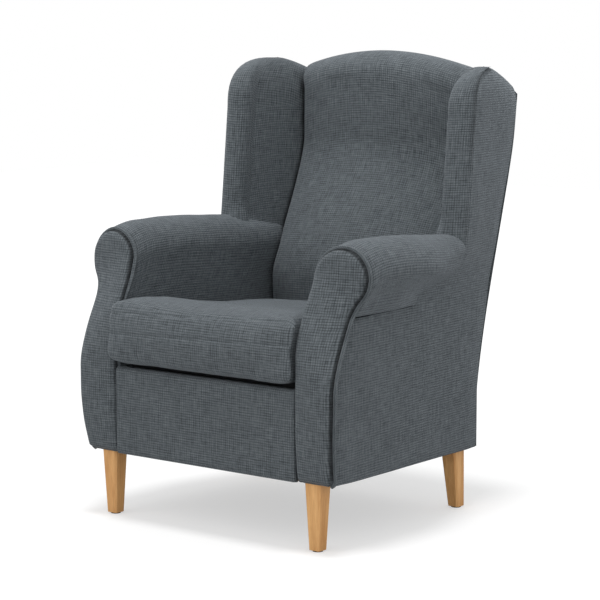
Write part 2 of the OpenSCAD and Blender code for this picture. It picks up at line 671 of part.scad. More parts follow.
module spring_clips()
    color("gray") for (k = [0:spring_count - 1], y = [spring_front_y, spring_rear_y])
        translate([spring_x(k) - clip_l / 4, y, spring_z(y)]) rotate([0, 90, 0])
            difference() {
                cylinder(r = wire_r + clip_t + gap, h = clip_l / 2, $fn = 32);
                translate([0, 0, -cut_over]) cylinder(r = wire_r + gap, h = clip_l / 2 + 2 * cut_over, $fn = 32);
            }

// Padded deck that lies on the springs and carries the cushion
function cushion_plane_z(y) = cushion_low_z - (y - front_y) * tan(seat_rake);
deck_setback = 38;
deck_front_y = rail_y + deck_setback;
deck_clear = 5.7;
deck_rear_y = post_front_y(bend_z) - deck_clear;
function deck_low_z(y) = spring_z(y) + wire_r + 2 * gap;
module seat_deck()
    color(dark_cloth) side_slab(-border_half, 2 * border_half, [
        [deck_front_y, deck_low_z(deck_front_y)], [deck_rear_y, deck_low_z(deck_rear_y)],
        [deck_rear_y, cushion_plane_z(deck_rear_y) - 2 * gap],
        [deck_front_y, cushion_plane_z(deck_front_y) - 2 * gap]]);

// Cloth under the seat frame, cut out round the legs
module dust_cover() {
    y0 = front_block_front_y + 2 * welt_notch;
    y1 = rear_block_rear_y;
    color(dark_cloth) translate([0, 0, frame_z - gap - dust_t]) linear_extrude(dust_t) difference() {
        polygon([[side_low_x(y0) - side_line_in, y0], [side_low_x(y1) - side_line_in, y1],
            [side_line_in - side_low_x(y1), y1], [side_line_in - side_low_x(y0), y0]]);
        for (s = [-1, 1]) {
            translate([s * front_foot_x - cutout / 2, y0 - cut_over])
                square([cutout, front_leg_y - y0 + cutout / 2 + cut_over]);
            translate([s * (rear_foot_x - rear_shift) - cutout / 2, rear_leg_y - rear_shift - cutout / 2])
                square([cutout, y1 - rear_leg_y + rear_shift + cutout / 2 + cut_over]);
        }
    }
}
cutout = leg_top_w + 4 * welt_r;

// Legs: square with rounded edges. The rear ones taper only on their inner and front faces
leg_h = frame_z - glide_t - gap;
corner_share = 0.63;
bolt_in_leg = 35;
module leg(dx, dy)
    color(leg_colour) difference() {
        intersection() {
            front_slab(-leg_top_w, 2 * leg_top_w, leg_taper(dx));
            side_slab(-leg_top_w, 2 * leg_top_w, leg_taper(dy));
            sheared_cone(dx, dy);
        }
        translate([dx, dy, frame_z - gap - bolt_in_leg]) cylinder(r = bolt_r, h = bolt_in_leg + cut_over, $fn = 32);
    }
// d moves the top of the leg sideways from its foot
function leg_taper(d) = [[-leg_foot_w / 2, glide_t], [leg_foot_w / 2, glide_t],
    [d + leg_top_w / 2, frame_z - gap], [d - leg_top_w / 2, frame_z - gap]];
module sheared_cone(dx, dy)
    multmatrix([[1, 0, dx / leg_h, -dx * glide_t / leg_h], [0, 1, dy / leg_h, -dy * glide_t / leg_h], [0, 0, 1, 0]])
        translate([0, 0, glide_t]) cylinder(r1 = corner_share * leg_foot_w, r2 = corner_share * leg_top_w,
            h = leg_h, $fn = 64);
rear_shift = (leg_top_w - leg_foot_w) / 2;
module front_right_leg() translate([front_foot_x, front_leg_y, 0]) leg(0, 0);
module front_left_leg() left() front_right_leg();
module rear_right_leg() translate([rear_foot_x, rear_leg_y, 0]) leg(-rear_shift, -rear_shift);
module rear_left_leg() left() rear_right_leg();

module at_leg_tops() both_sides() {
    translate([front_foot_x, front_leg_y, frame_z]) children();
    translate([rear_foot_x - rear_shift, rear_leg_y - rear_shift, frame_z]) children();
}
module hanger_bolts()
    color(steel_colour) at_leg_tops() translate([0, 0, -bolt_in_leg])
        cylinder(r = bolt_r - gap / 2, h = bolt_in_leg + insert_h, $fn = 32);
module threaded_inserts()
    color("gold") at_leg_tops() difference() {
        cylinder(r = insert_r - gap / 2, h = insert_h, $fn = 48);
        translate([0, 0, -cut_over]) cylinder(r = bolt_r, h = insert_h + 2 * cut_over, $fn = 48);
    }
glide_r = 11;
module foot_glides()
    color("dimgray") both_sides() {
        translate([front_foot_x, front_leg_y, 0]) cylinder(r = glide_r, h = glide_t, $fn = 48);
        translate([rear_foot_x, rear_leg_y, 0]) cylinder(r = glide_r, h = glide_t, $fn = 48);
    }

// Seat cushion, drawn level and then tipped back to the seat's rake
cushion_half_w = seat_half - welt_r - 5 * gap;
cushion_corner_r = 20;
arc_steps = 3;
edge_steps = 5;
front_rise = 18;
rise_start_share = 0.37;
rise_run_share = 1.06;
front_crown_share = 0.2;
function corner_arc(c, r, a) = [for (i = [0:arc_steps]) let (b = a + 90 * i / arc_steps)
    c + r * [cos(b), sin(b)]];
function rounded_ring(hx, hy, r) = let (
        arcs = [for (k = [[1, 1, 0], [-1, 1, 90], [-1, -1, 180], [1, -1, 270]])
            corner_arc([k[0] * (hx - r), k[1] * (hy - r)], r, k[2])])
    [for (k = [0:3]) each concat(arcs[k],
        [for (i = [1:edge_steps - 1]) lerp(arcs[k][arc_steps], arcs[(k + 1) % 4][0], i / edge_steps)])];
// Each level: inset from the seam line, height share of the boxing, share of the crown
seam_edge = 14;
zip_band = 26;
edge_shares = [1.6, 0.5, 0.15];
crown_reach_shares = [0.3, 0.55, 0.8];
crown_shares = [0.04, 0.3, 0.66, 0.9, 0.99];
function cushion_levels(t, s) = concat([
        [seam_edge * edge_shares[0], s, 0], [seam_edge * edge_shares[1], s + seam_edge * edge_shares[2], 0],
        [0, s + seam_edge, 0], [side_draw, s + (t - zip_band) / 2, 0], [side_draw, s + (t + zip_band) / 2, 0],
        [0, s + t - seam_edge, 0],
        [seam_edge * edge_shares[1], s + t - seam_edge * edge_shares[2], crown_shares[0]],
        [seam_edge * 2, s + t, crown_shares[1]]],
    [for (i = [0:2]) [cushion_half_w * crown_reach_shares[i], s + t, crown_shares[i + 2]]]);
corner_limit_share = 0.9;
module cushion_form(s) {
    hx = cushion_half_w - s;
    hy = cushion_len / 2 - s;
    t = cushion_t - 2 * s;
    loft([for (lv = cushion_levels(t, s))
        [for (p = rounded_ring(hx - lv[0], hy - lv[0],
                min(cushion_corner_r + lv[0] / 2, corner_limit_share * (min(hx, hy) - lv[0])))) let (
                up = limit((lv[1] - s - t / 2) / (t / 2)),
                front = ease((rise_start_share - p[1] / hy) / rise_run_share),
                crown = lv[2] * cushion_crown * lerp(1, front_crown_share, front))
            [p[0], p[1], lv[1] + crown + up * front * front_rise]]]);
}
module in_cushion() translate([0, front_y - seam_edge * sin(seat_rake), cushion_low_z]) rotate([-seat_rake, 0, 0])
    translate([0, cushion_len / 2, 0]) children();
module cushion_cover()
    color(fabric_colour) in_cushion() difference() {
        cushion_form(0);
        cushion_form(cover_t);
    }
module cushion_foam()
    color("khaki") in_cushion() cushion_form(cover_t + gap);

// Zip along the drawn-in boxing at the back of the cushion
zip_end = 46.5;
zip_half = cushion_half_w - zip_end;
zip_w = 22;
tape_t = 1.2;
slider = [10, 3.6, 13];
zip_mid_z = cushion_t / 2;
zip_face_y = cushion_len / 2 - side_draw;
module zip_tape()
    color(dark_cloth) in_cushion() translate([-zip_half, zip_face_y, zip_mid_z - zip_w / 2])
        cube([2 * zip_half, tape_t, zip_w]);
module zip_slider()
    color(steel_colour) in_cushion()
        translate([-zip_half + slider[0], zip_face_y + tape_t + gap, zip_mid_z]) {
            rotate([-90, 0, 0]) linear_extrude(slider[1] / 2) polygon([
                [-slider[0] / 2, -slider[2] / 3], [-slider[0] / 4, -slider[2] / 2], [slider[0] / 4, -slider[2] / 2],
                [slider[0] / 2, -slider[2] / 3], [slider[0] / 2, slider[2] / 3], [slider[0] / 4, slider[2] / 2],
                [-slider[0] / 4, slider[2] / 2], [-slider[0] / 2, slider[2] / 3]]);
            translate([-slider[0] / 4, slider[1] / 2, -slider[2] / 6])
                cube([slider[0] / 2, slider[1] / 2, slider[2] / 3]);
        }

front_rail();
rear_rail();
right_side_rail();
left_side_rail();
leg_blocks();
right_back_post();
left_back_post();
crest_rail();
lower_back_rail();
right_arm_post();
left_arm_post();
right_arm_board();
left_arm_board();
right_arm_tack_rail();
left_arm_tack_rail();
right_facing_board();
left_facing_board();
right_wing_board();
left_wing_board();
seat_springs();
spring_clips();
seat_deck();
back_webbing();
front_border();
right_arm_facing();
left_arm_facing();
right_facing_welt();
left_facing_welt();
right_arm_roll();
left_arm_roll();
right_inside_arm();
left_inside_arm();
right_outside_arm();
left_outside_arm();
right_wing_pad();
left_wing_pad();
right_outside_wing();
left_outside_wing();
back_pad();
outside_back();
back_welt();
dust_cover();
front_right_leg();
front_left_leg();
rear_right_leg();
rear_left_leg();
hanger_bolts();
threaded_inserts();
foot_glides();
cushion_cover();
cushion_foam();
zip_tape();
zip_slider();
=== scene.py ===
import json
import math

import bmesh
import bpy
import numpy as np
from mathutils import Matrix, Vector


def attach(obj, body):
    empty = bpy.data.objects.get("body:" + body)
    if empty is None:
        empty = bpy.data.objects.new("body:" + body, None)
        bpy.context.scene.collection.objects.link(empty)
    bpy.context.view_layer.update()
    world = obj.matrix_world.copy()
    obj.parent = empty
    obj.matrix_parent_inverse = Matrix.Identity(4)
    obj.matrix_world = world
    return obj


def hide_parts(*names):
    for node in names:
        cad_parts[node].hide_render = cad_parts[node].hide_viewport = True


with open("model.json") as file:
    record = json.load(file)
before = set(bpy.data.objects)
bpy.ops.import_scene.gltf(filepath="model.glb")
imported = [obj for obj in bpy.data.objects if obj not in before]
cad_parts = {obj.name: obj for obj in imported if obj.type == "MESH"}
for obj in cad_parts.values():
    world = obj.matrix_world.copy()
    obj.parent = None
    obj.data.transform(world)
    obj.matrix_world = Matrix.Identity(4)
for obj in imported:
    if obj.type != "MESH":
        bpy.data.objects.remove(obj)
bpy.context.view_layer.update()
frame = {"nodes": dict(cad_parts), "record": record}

# Driving sizes, in metres
CHAIR_H = 1.030
CHAIR_D = 0.795
SEAT_HALF = 0.252
BACK_HALF = 0.303
ARM_H = 0.648
ARM_ARCH = 0.010
ROLL_R = 0.068
ARM_FRONT_W = 0.104
ARM_SEAM_Z = 0.490
FACING_T = 0.018
SIDE_SETBACK = 0.009
FRAME_Z = 0.146
BORDER_TOP_Z = 0.340
RAKE_RUN = 0.165
BEND_Z = 0.270
WING_OUT_X = 0.350
WING_R = 0.033
WING_H = 1.001
WING_CORNER_R = 0.110
WING_FOOT_Z = 0.600
WING_FALL = 0.050
CREST_DROP = 0.043
CREST_FALL = 0.016
LUMBAR_DEPTH = 0.277
UPPER_DEPTH = 0.147
LUMBAR_Z = 0.500
UPPER_Z = CHAIR_H - 0.200
BACK_CROWN = 0.042
PANEL_T = 0.009
WELT_R = 0.004
SEAT_RAKE = math.radians(5)
CUSHION_LOW_Z = 0.354
CUSHION_LEN = 0.505
CUSHION_HALF = 0.2465
CUSHION_CORNER_R = 0.017

FRONT_Y = -CHAIR_D / 2
BULGE_Y = FRONT_Y + 0.014
BORDER_Y = FRONT_Y + 0.025
ROLL_Z = ARM_H - ARM_ARCH - ROLL_R
ROLL_X = SEAT_HALF + ROLL_R
WING_X = WING_OUT_X - WING_R
WING_FRONT_Y = CHAIR_D / 2 - 0.313
REAR_TOP_Y = CHAIR_D / 2 - WELT_R
LOW_REAR_Y = REAR_TOP_Y - RAKE_RUN
REAR_CORNER_Z = CHAIR_H - 0.074
FACE_R = 0.0625
SKIRT_REAR_Z = FRAME_Z - 0.009
SIDE_FRONT_X = SEAT_HALF + ARM_FRONT_W - SIDE_SETBACK
NOTCH_X = BACK_HALF * 0.8
FLARE_TOP_Z = ARM_H + (ARM_H - WING_FOOT_Z) / 4
FACE_SPAN = 0.105
FOOT_CORNER_R = 0.011
ARM_FRONT_Y = -0.3325
ARCH_FRONT_Y = -0.3275
ARCH_REAR_Y = 0.0845
ROLL_END_DEG = -38
LOW_SIDE_TOP_Z = 0.4885
SIDE_SPLIT_Z = 0.489
WING_START_Z = 0.62
BACK_EDGE_SPAN = 0.24
BACK_EDGE_R = 0.026
CUSHION_SETBACK = 0.014


# The chair's guiding lines
def lerp(a, b, t):
    return a + (b - a) * t


def ease(t):
    t = np.clip(t, 0.0, 1.0)
    return t * t * (3 - 2 * t)


def rear_y(z):
    """Rear face of the chair, upright at the bottom and leaning back above."""
    t = np.clip((z - BEND_Z) / (REAR_CORNER_Z - BEND_Z), 0, 1)
    return LOW_REAR_Y + RAKE_RUN * lerp(t, ease(t), 0.4)


def face_y(z, s=0.5):
    """Front face of an arm, which bulges low down and sweeps back to the roll.
    s is 0 at its inner edge and 1 at its outer edge."""
    z = np.asarray(z, float)
    tuck_z = lerp(FRAME_Z, ROLL_Z, 0.31)
    tuck = np.clip((tuck_z - z) / (tuck_z - FRAME_Z), 0, 2) ** 2
    inner = BULGE_Y + 0.006 + 0.009 * tuck + 0.060 * ease((z - 0.41) / 0.19)
    outer = BULGE_Y - 0.003 + 0.018 * tuck + 0.081 * ease((z - 0.33) / 0.25)
    return lerp(inner, outer, s)


def face_share(x):
    """How far across the arm's front a place lies, from 0 to 1."""
    return np.clip((x - SEAT_HALF) / FACE_SPAN, 0, 1)


SIDE_SLOPE = (SIDE_FRONT_X - BACK_HALF) / (rear_y(ARM_SEAM_Z) - BULGE_Y)


def side_low_x(y):
    return SIDE_FRONT_X - (y - BULGE_Y) * SIDE_SLOPE


def fold_y(z):
    return WING_FRONT_Y + WING_R + (z - ARM_H) * 0.1


def wing_edge_y(z):
    """Front edge of the wing's outer panel, which follows the rounded upper corner."""
    body_top = WING_H - WING_CORNER_R
    up = np.clip((z - body_top) / WING_CORNER_R, 0, 1)
    return fold_y(np.minimum(z, body_top)) + WING_CORNER_R * (1 - (1 - up**2.5) ** 0.4)


def side_x(y, z):
    """Outer face of the chair's side: a flat lower panel that flares into the wing."""
    flare = ease((z - ARM_SEAM_Z) / (FLARE_TOP_Z - ARM_SEAM_Z))
    front = lerp(side_low_x(fold_y(z)), WING_OUT_X, flare)
    t = (y - fold_y(z)) / (rear_y(z) - fold_y(z))
    back = lerp(side_low_x(rear_y(z)), BACK_HALF, flare)
    ahead = lerp(side_low_x(y), WING_OUT_X, flare)
    return np.where(t < 0, ahead, lerp(front, back, np.clip(t, 0, 1)))


def wing_fall(y):
    top_y = WING_FRONT_Y + 0.166
    return WING_FALL * np.maximum(0, (y - top_y) / (REAR_TOP_Y - top_y)) ** 1.3


def crest_z(x):
    return CHAIR_H - CREST_DROP * (x / NOTCH_X) ** 2


# Mesh building
scene = bpy.context.scene


def object_from(name, verts, faces, cloth=None):
    """A smooth-shaded mesh object. cloth holds each point's place along and across the threads,
    in metres, and how strongly painted shade darkens it there, in the seams and gaps."""
    mesh = bpy.data.meshes.new(name)
    mesh.from_pydata([tuple(map(float, v)) for v in verts], [], [tuple(map(int, f)) for f in faces])
    if cloth is not None:
        data = np.zeros((len(verts), 3), np.float32)
        data[:, : cloth.shape[1]] = cloth
        mesh.attributes.new("cloth", "FLOAT_VECTOR", "POINT").data.foreach_set("vector", data.ravel())
    mesh.validate()
    obj = bpy.data.objects.new(name, mesh)
    scene.collection.objects.link(obj)
    mesh.polygons.foreach_set("use_smooth", [True] * len(mesh.polygons))
    outward(obj)
    return obj


def outward(obj):
    """Turns the faces of a closed mesh outwards."""
    bm = bmesh.new()
    bm.from_mesh(obj.data)
    bmesh.ops.recalc_face_normals(bm, faces=bm.faces)
    bm.to_mesh(obj.data)
    bm.free()


def lengths(points, axis):
    """Running length along one axis of a grid of points."""
    step = np.linalg.norm(np.diff(points, axis=axis), axis=-1)
    zero = np.zeros_like(np.take(step, [0], axis=axis))
    return np.concatenate([zero, np.cumsum(step, axis=axis)], axis=axis)


def tube(name, rings, weft="along", painted_shade=0.0):
    """Closed form through rings. weft says whether its threads run along the form or round it.
    The last argument is painted shade, which darkens the cloth in seams and gaps.
    """
    rings = np.asarray(rings, float)
    m, n = rings.shape[:2]
    # The first column is repeated at the end, so that the cloth's coordinates don't run backwards.
    closed = np.concatenate([rings, rings[:, :1]], axis=1)
    around = lengths(closed, 1)[:, :n]
    down = lengths(rings, 0)
    around = np.broadcast_to(around[m // 2], around.shape)
    painted_shade = np.broadcast_to(painted_shade, around.shape)
    cloth = np.stack([down, around, painted_shade] if weft == "along" else [around, down, painted_shade], -1)
    faces = [
        (i * n + j, i * n + (j + 1) % n, (i + 1) * n + (j + 1) % n, (i + 1) * n + j)
        for i in range(m - 1)
        for j in range(n)
    ]
    faces += [tuple(range(n)), tuple(range((m - 1) * n, m * n))]
    return object_from(name, rings.reshape(-1, 3), faces, cloth.reshape(-1, 3))


def shell(name, front, back, cloth):
    """Closed form from a front and a back grid that share their outline's order."""
    m, n = front.shape[:2]
    count = m * n

    def at(i, j):
        return i * n + j

    faces = [
        (at(i, j), at(i, j + 1), at(i + 1, j + 1), at(i + 1, j))
        for i in range(m - 1)
        for j in range(n - 1)
    ]
    faces += [tuple(count + v for v in reversed(f)) for f in faces]
    rim = [at(0, j) for j in range(n)] + [at(i, n - 1) for i in range(1, m)]
    rim += [at(m - 1, j) for j in range(n - 2, -1, -1)] + [at(i, 0) for i in range(m - 2, 0, -1)]
    faces += [(rim[k], rim[k - 1], count + rim[k - 1], count + rim[k]) for k in range(len(rim))]
    verts = np.concatenate([front.reshape(-1, 3), back.reshape(-1, 3)])
    return object_from(name, verts, faces, np.concatenate([cloth.reshape(-1, cloth.shape[-1])] * 2))


def pipe(name, route, radius, painted_shade=0.0, sides=12):
    """Round cord along a route, with its cover's threads running along it and round it."""
    route = np.asarray(route, float)
    way = np.gradient(route, axis=0)
    way /= np.linalg.norm(way, axis=1)[:, None]
    up = np.array([0.0, 1.0, 0.0])
    angles = np.linspace(0, 2 * math.pi, sides, endpoint=False)
    rings = []
    for p, w in zip(route, way):
        u = np.cross(w, up)
        u /= max(np.linalg.norm(u), 1e-9)
        v = np.cross(w, u)
        rings.append([p + radius * (math.cos(a) * u + math.sin(a) * v) for a in angles])
    # The fourth argument is painted shade, which darkens the whole cord.
    return tube(name, rings, painted_shade=painted_shade)


def resample(points, count, closed=False):
    """Points spaced evenly along a line."""
    points = np.asarray(points, float)
    if closed:
        points = np.vstack([points, points[:1]])
    s = lengths(points, 0)
    at = np.linspace(0, s[-1], count, endpoint=not closed)
    return np.stack([np.interp(at, s, points[:, c]) for c in range(points.shape[1])], 1)


def mirrored(obj, name):
    """The same piece for the other side of the chair."""
    mesh = obj.data.copy()
    mesh.name = name
    co = np.zeros(len(mesh.vertices) * 3, np.float32)
    mesh.vertices.foreach_get("co", co)
    co[0::3] *= -1
    mesh.vertices.foreach_set("co", co)
    mesh.flip_normals()
    other = bpy.data.objects.new(name, mesh)
    scene.collection.objects.link(other)
    return other


def ripples(p, scale, seed=0.0):
    """Smooth low waves that tell one stretch of cloth from the next."""
    x, y, z = (p[..., k] * scale for k in range(3))
    return (
        np.sin(1.7 * x + 2.3 * z + 1.1 + seed) * np.sin(1.3 * y - 1.9 * z + 0.4 * seed)
        + 0.5 * np.sin(3.1 * x - 2.7 * y + 2.0 * seed) * np.sin(2.2 * z + 1.5 * y + 0.7)
    )


# The chair's covers
CLEAR = 0.0003
PAD_GAP = 0.0026
PAD_POWER = 2.7
COVER_POWER = 3.3
POST_D = 0.038
WING_REAR_IN_X = 0.2404
BACK_LOW_Z = 0.310
RAIL_TOP_Z = 0.300
RAIL_Y = BORDER_Y + 0.013
LUMBAR_Y = CHAIR_D / 2 - LUMBAR_DEPTH
UPPER_Y = CHAIR_D / 2 - UPPER_DEPTH
CREST_R = 0.060


def corner_ease(z):
    """How far the rear upper corners of the wings are rounded off towards the front."""
    return 0.0085 * ease((np.asarray(z, float) - 0.80) / 0.14)


def rear_corner(x, z):
    """The same for the rear panel and its piping, which follow it only near their sides."""
    return corner_ease(z) * ease((np.abs(x) - 0.270) / 0.030)


def panel_front_y(z):
    return rear_y(z) - PANEL_T - CLEAR


def pad_rear_y(z):
    return panel_front_y(z) - POST_D - PAD_GAP


def round_edge(d, r):
    """How far a padded face falls back at the distance d from its edge."""
    near = np.clip(1 - d / r, 0, 1)
    return r * (1 - np.sqrt(1 - near * near))


def back_mid_y(z):
    low = LUMBAR_Y + 0.020 * ((LUMBAR_Z - z) / (LUMBAR_Z - BACK_LOW_Z)) ** 2
    high = lerp(LUMBAR_Y, UPPER_Y, ease((z - LUMBAR_Z) / (UPPER_Z - LUMBAR_Z)))
    return np.where(z < LUMBAR_Z, low, high)


def above_seat(z):
    """0 up to the seat and 1 from a little above it, where the back and the arms draw in."""
    return ease((z - ARM_SEAM_Z) / 0.085)


def back_half_at(z):
    waist = lerp(SEAT_HALF - 0.0008, WING_REAR_IN_X - 0.0006, above_seat(z))
    return waist + 0.006 * ease((z - 0.930) / 0.03)


def back_edge(u):
    """How far the back's padding is rounded off beside its edges."""
    return round_edge((1 - abs(u)) * BACK_EDGE_SPAN, BACK_EDGE_R)


def back_fall(u, z):
    """How far the back's face falls away towards its edges, less so above than below."""
    high = ease((np.asarray(z, float) - 0.56) / 0.22)
    crown = lerp(BACK_CROWN, 0.022, high) * abs(u) ** 2.6
    return crown + lerp(1.0, 0.7, high) * back_edge(u)


def back_profile(u):
    """Section of the back at one place across it: u is -1 at one edge and 1 at the other."""
    top = crest_z(u * WING_REAR_IN_X)
    z = np.linspace(BACK_LOW_Z, top - CREST_R, 70)
    lip, shelf_drop, post_drop = 0.012, 0.0365, 0.02
    turn = np.linspace(0, math.pi / 2, 16)[1:]
    edge = back_edge(u)
    fall = back_fall(u, z)
    y = back_mid_y(z) + fall
    y_roll = back_mid_y(z[-1]) + CREST_R * (1 - np.cos(turn)) + fall[-1] * np.cos(turn)
    z_roll = top - 0.0035 * np.sin(turn) - CREST_R * (1 - np.sin(turn)) - edge * 0.15 * np.sin(turn)
    rear = panel_front_y(top - 0.02) + 0.006
    across = np.linspace(0, 1, 8)[1:]
    y_top = lerp(y_roll[-1], rear - lip, across)
    z_top = z_roll[-1] - 0.011 * across**1.5
    over = np.linspace(0, math.pi / 2, 6)[1:]
    y_fall = rear - lip + lip * np.sin(over)
    z_fall = z_top[-1] - 0.010 * (1 - np.cos(over))
    # Behind, it drops to the crest rail and then runs down in front of the posts.
    shelf = top - shelf_drop
    z_post = np.linspace(shelf - post_drop, BACK_LOW_Z, 14)
    z_down = np.concatenate([[shelf], [shelf], z_post])
    y_down = np.concatenate([[panel_front_y(shelf)], [pad_rear_y(shelf)], pad_rear_y(z_post)])
    yy = np.concatenate([y, y_roll, y_top, y_fall, y_down])
    zz = np.concatenate([z, z_roll, z_top, z_fall, z_down])
    p = np.stack([u * back_half_at(zz), yy, zz], -1)
    soft = ripples(p, 14.0, 0.3) * 0.0011
    p[: len(z), 1] += soft[: len(z)] * np.clip((1 - abs(u)) * 8, 0, 1)
    return p


def edge_spread(n):
    """Places from -1 to 1 that lie closer together at both ends."""
    a = np.linspace(-1, 1, n)
    return np.sin(a * math.pi / 2) * 0.45 + a * 0.55


def low_back(z):
    """1 in the lower part of the back, 0 above the arms."""
    return ease((0.600 - z) / 0.08)


def below_crest(z):
    """1 below the crest, 0 on it, where the gap beside the back ends."""
    return ease((0.965 - z) / 0.04)


def face_spread(n):
    """Places from 0 to 1 that lie closer together at both ends."""
    line = np.linspace(0, 1, n)
    return 0.6 * (0.5 - 0.5 * np.cos(np.linspace(0, math.pi, n))) + 0.4 * line


def make_back():
    u = edge_spread(101)
    rings = np.array([back_profile(t) for t in u])
    z = rings[..., 2]
    # Painted shade on the back's edges, where they go into the gaps beside the wings.
    start = lerp(0.950, 0.925, low_back(z))
    dark = ease((np.abs(u)[:, None] - start) / 0.035) * below_crest(z)
    return tube("padded_back", rings, painted_shade=dark)


def near_back(y, z):
    """1 where a face goes into the gap beside the back, 0 in front of it: the mask of the painted shade
    there.
    """
    start = back_mid_y(z) + back_fall(1.0, z) - lerp(0.010, 0.018, low_back(z))
    return ease((y - start) / 0.010) * below_crest(z)


def soft_min(a, b, k):
    """The smaller of two values, with the turn between them rounded over about k."""
    return -k * np.log(np.exp(-np.asarray(a) / k) + np.exp(-np.asarray(b) / k))


def wing_in_x(y, z):
    """Inner face of the right wing, which runs out over the arm's roll at its foot."""
    cy = fold_y(z)
    t = np.clip((y - cy) / (pad_rear_y(z) - cy), 0, 1)
    face = lerp(WING_X - WING_R, WING_REAR_IN_X, t) - 0.004 * np.sin(math.pi * t)
    up = np.clip((z - ROLL_Z) / ROLL_R, -1, 1)
    roll = ROLL_X - ROLL_R * np.sqrt(1 - up * up) + (0.05 if z >= ROLL_Z + ROLL_R else 0.0)
    return soft_min(face, roll, 0.0045)


def wing_core_x(y, z):
    return side_x(y, z) - PANEL_T - 0.0135


def corner_thickness(up, power):
    """Thickness left in the wing's upper corner, where up goes from 0 below it to 1 on top."""
    return lerp(1, (1 - up**power) ** (1 / power), 0.92)


def wing_ring(z, turn, over_post):
    """Section of the wing's padding. turn goes from 0 below its upper corner to a right angle on top."""
    f = corner_thickness(math.sin(turn), PAD_POWER)
    zz = z + WING_CORNER_R * math.sin(turn)
    w = float(ease((zz - FLARE_TOP_Z) / (WING_H - FLARE_TOP_Z)))
    cy = float(wing_edge_y(zz))
    rear_line = panel_front_y if over_post else pad_rear_y
    rear_z = zz - w * float(wing_fall(rear_line(zz)))
    yr = float(rear_line(rear_z))
    a = np.linspace(math.pi, 2 * math.pi, 25)
    inward = np.clip((1.75 * math.pi - a) / (0.4 * math.pi), 0, 1)
    foot = 0.010 * np.clip((0.680 - z) / 0.05, 0, 1) ** 2 * inward
    r = WING_R * f + foot
    arc = np.stack([WING_X + r * np.cos(a), cy + r * np.sin(a)], -1)
    y = np.linspace(cy, yr, 22)
    out_x = wing_core_x(y, rear_z)
    out_x[0] = WING_X + WING_R
    in_x = wing_in_x(y, z)
    mid = (in_x + side_x(y, rear_z)) / 2
    inner, outer = lerp(mid, in_x, f), lerp(mid, out_x, f)
    outside = np.stack([outer[1:], y[1:]], -1)
    inside = np.stack([inner[:0:-1], y[:0:-1]], -1)
    loop = np.concatenate([arc, outside, inside])
    return np.stack([loop[:, 0], loop[:, 1], zz - w * wing_fall(loop[:, 1])], -1)


# Steps round the wing's upper corner, in degrees
CORNER_TURNS = (8, 16, 24, 32, 40, 48, 56, 64, 71, 77, 82, 86, 88.5)


def wing_seam_shade(z):
    """Strength of the painted shade along the seam at the wing's front."""
    return lerp(0.1, 0.5, ease((z - 0.74) / 0.14))


def make_wing():
    body_top = WING_H - WING_CORNER_R
    rings = [wing_ring(z, 0, False) for z in np.linspace(0.585, body_top, 44)]
    rings += [wing_ring(body_top + CLEAR, 0, True)]
    rings += [wing_ring(body_top, math.radians(t), True) for t in CORNER_TURNS]
    rings = np.array(rings)
    # Painted shade where the wing's inner face goes into the gap beside the back.
    dark = near_back(rings[..., 1], rings[..., 2]) * (rings[..., 0] < WING_X)
    # Painted shade along the seam between the roll and the outer panel, stronger towards the top.
    dark[:, 20:26] = wing_seam_shade(rings[:, :1, 2]) * np.array([0, 0.2, 0.6, 1, 1, 1])
    return tube("right_wing", rings, weft="round", painted_shade=dark)


def roll_rise(t):
    """Arch of the arm's roll: it rises at once in front and sinks slowly towards the back."""
    turn = math.pi / 2 * np.where(t < 0.16, t / 0.16, (1 - t) / 0.84)
    return (ARM_ARCH + 0.001) * np.sin(turn) - 0.0045 * ease((t - 0.4) / 0.6)


def arm_swell(y, z):
    """How far the arm's fullness still stands out of the chair's side at the wing's foot."""
    height = np.exp(-(((z - 0.585) / 0.042) ** 2))
    return 0.013 * (1 - ease((y - 0.07) / 0.17)) * height * ease((y + 0.05) / 0.08)


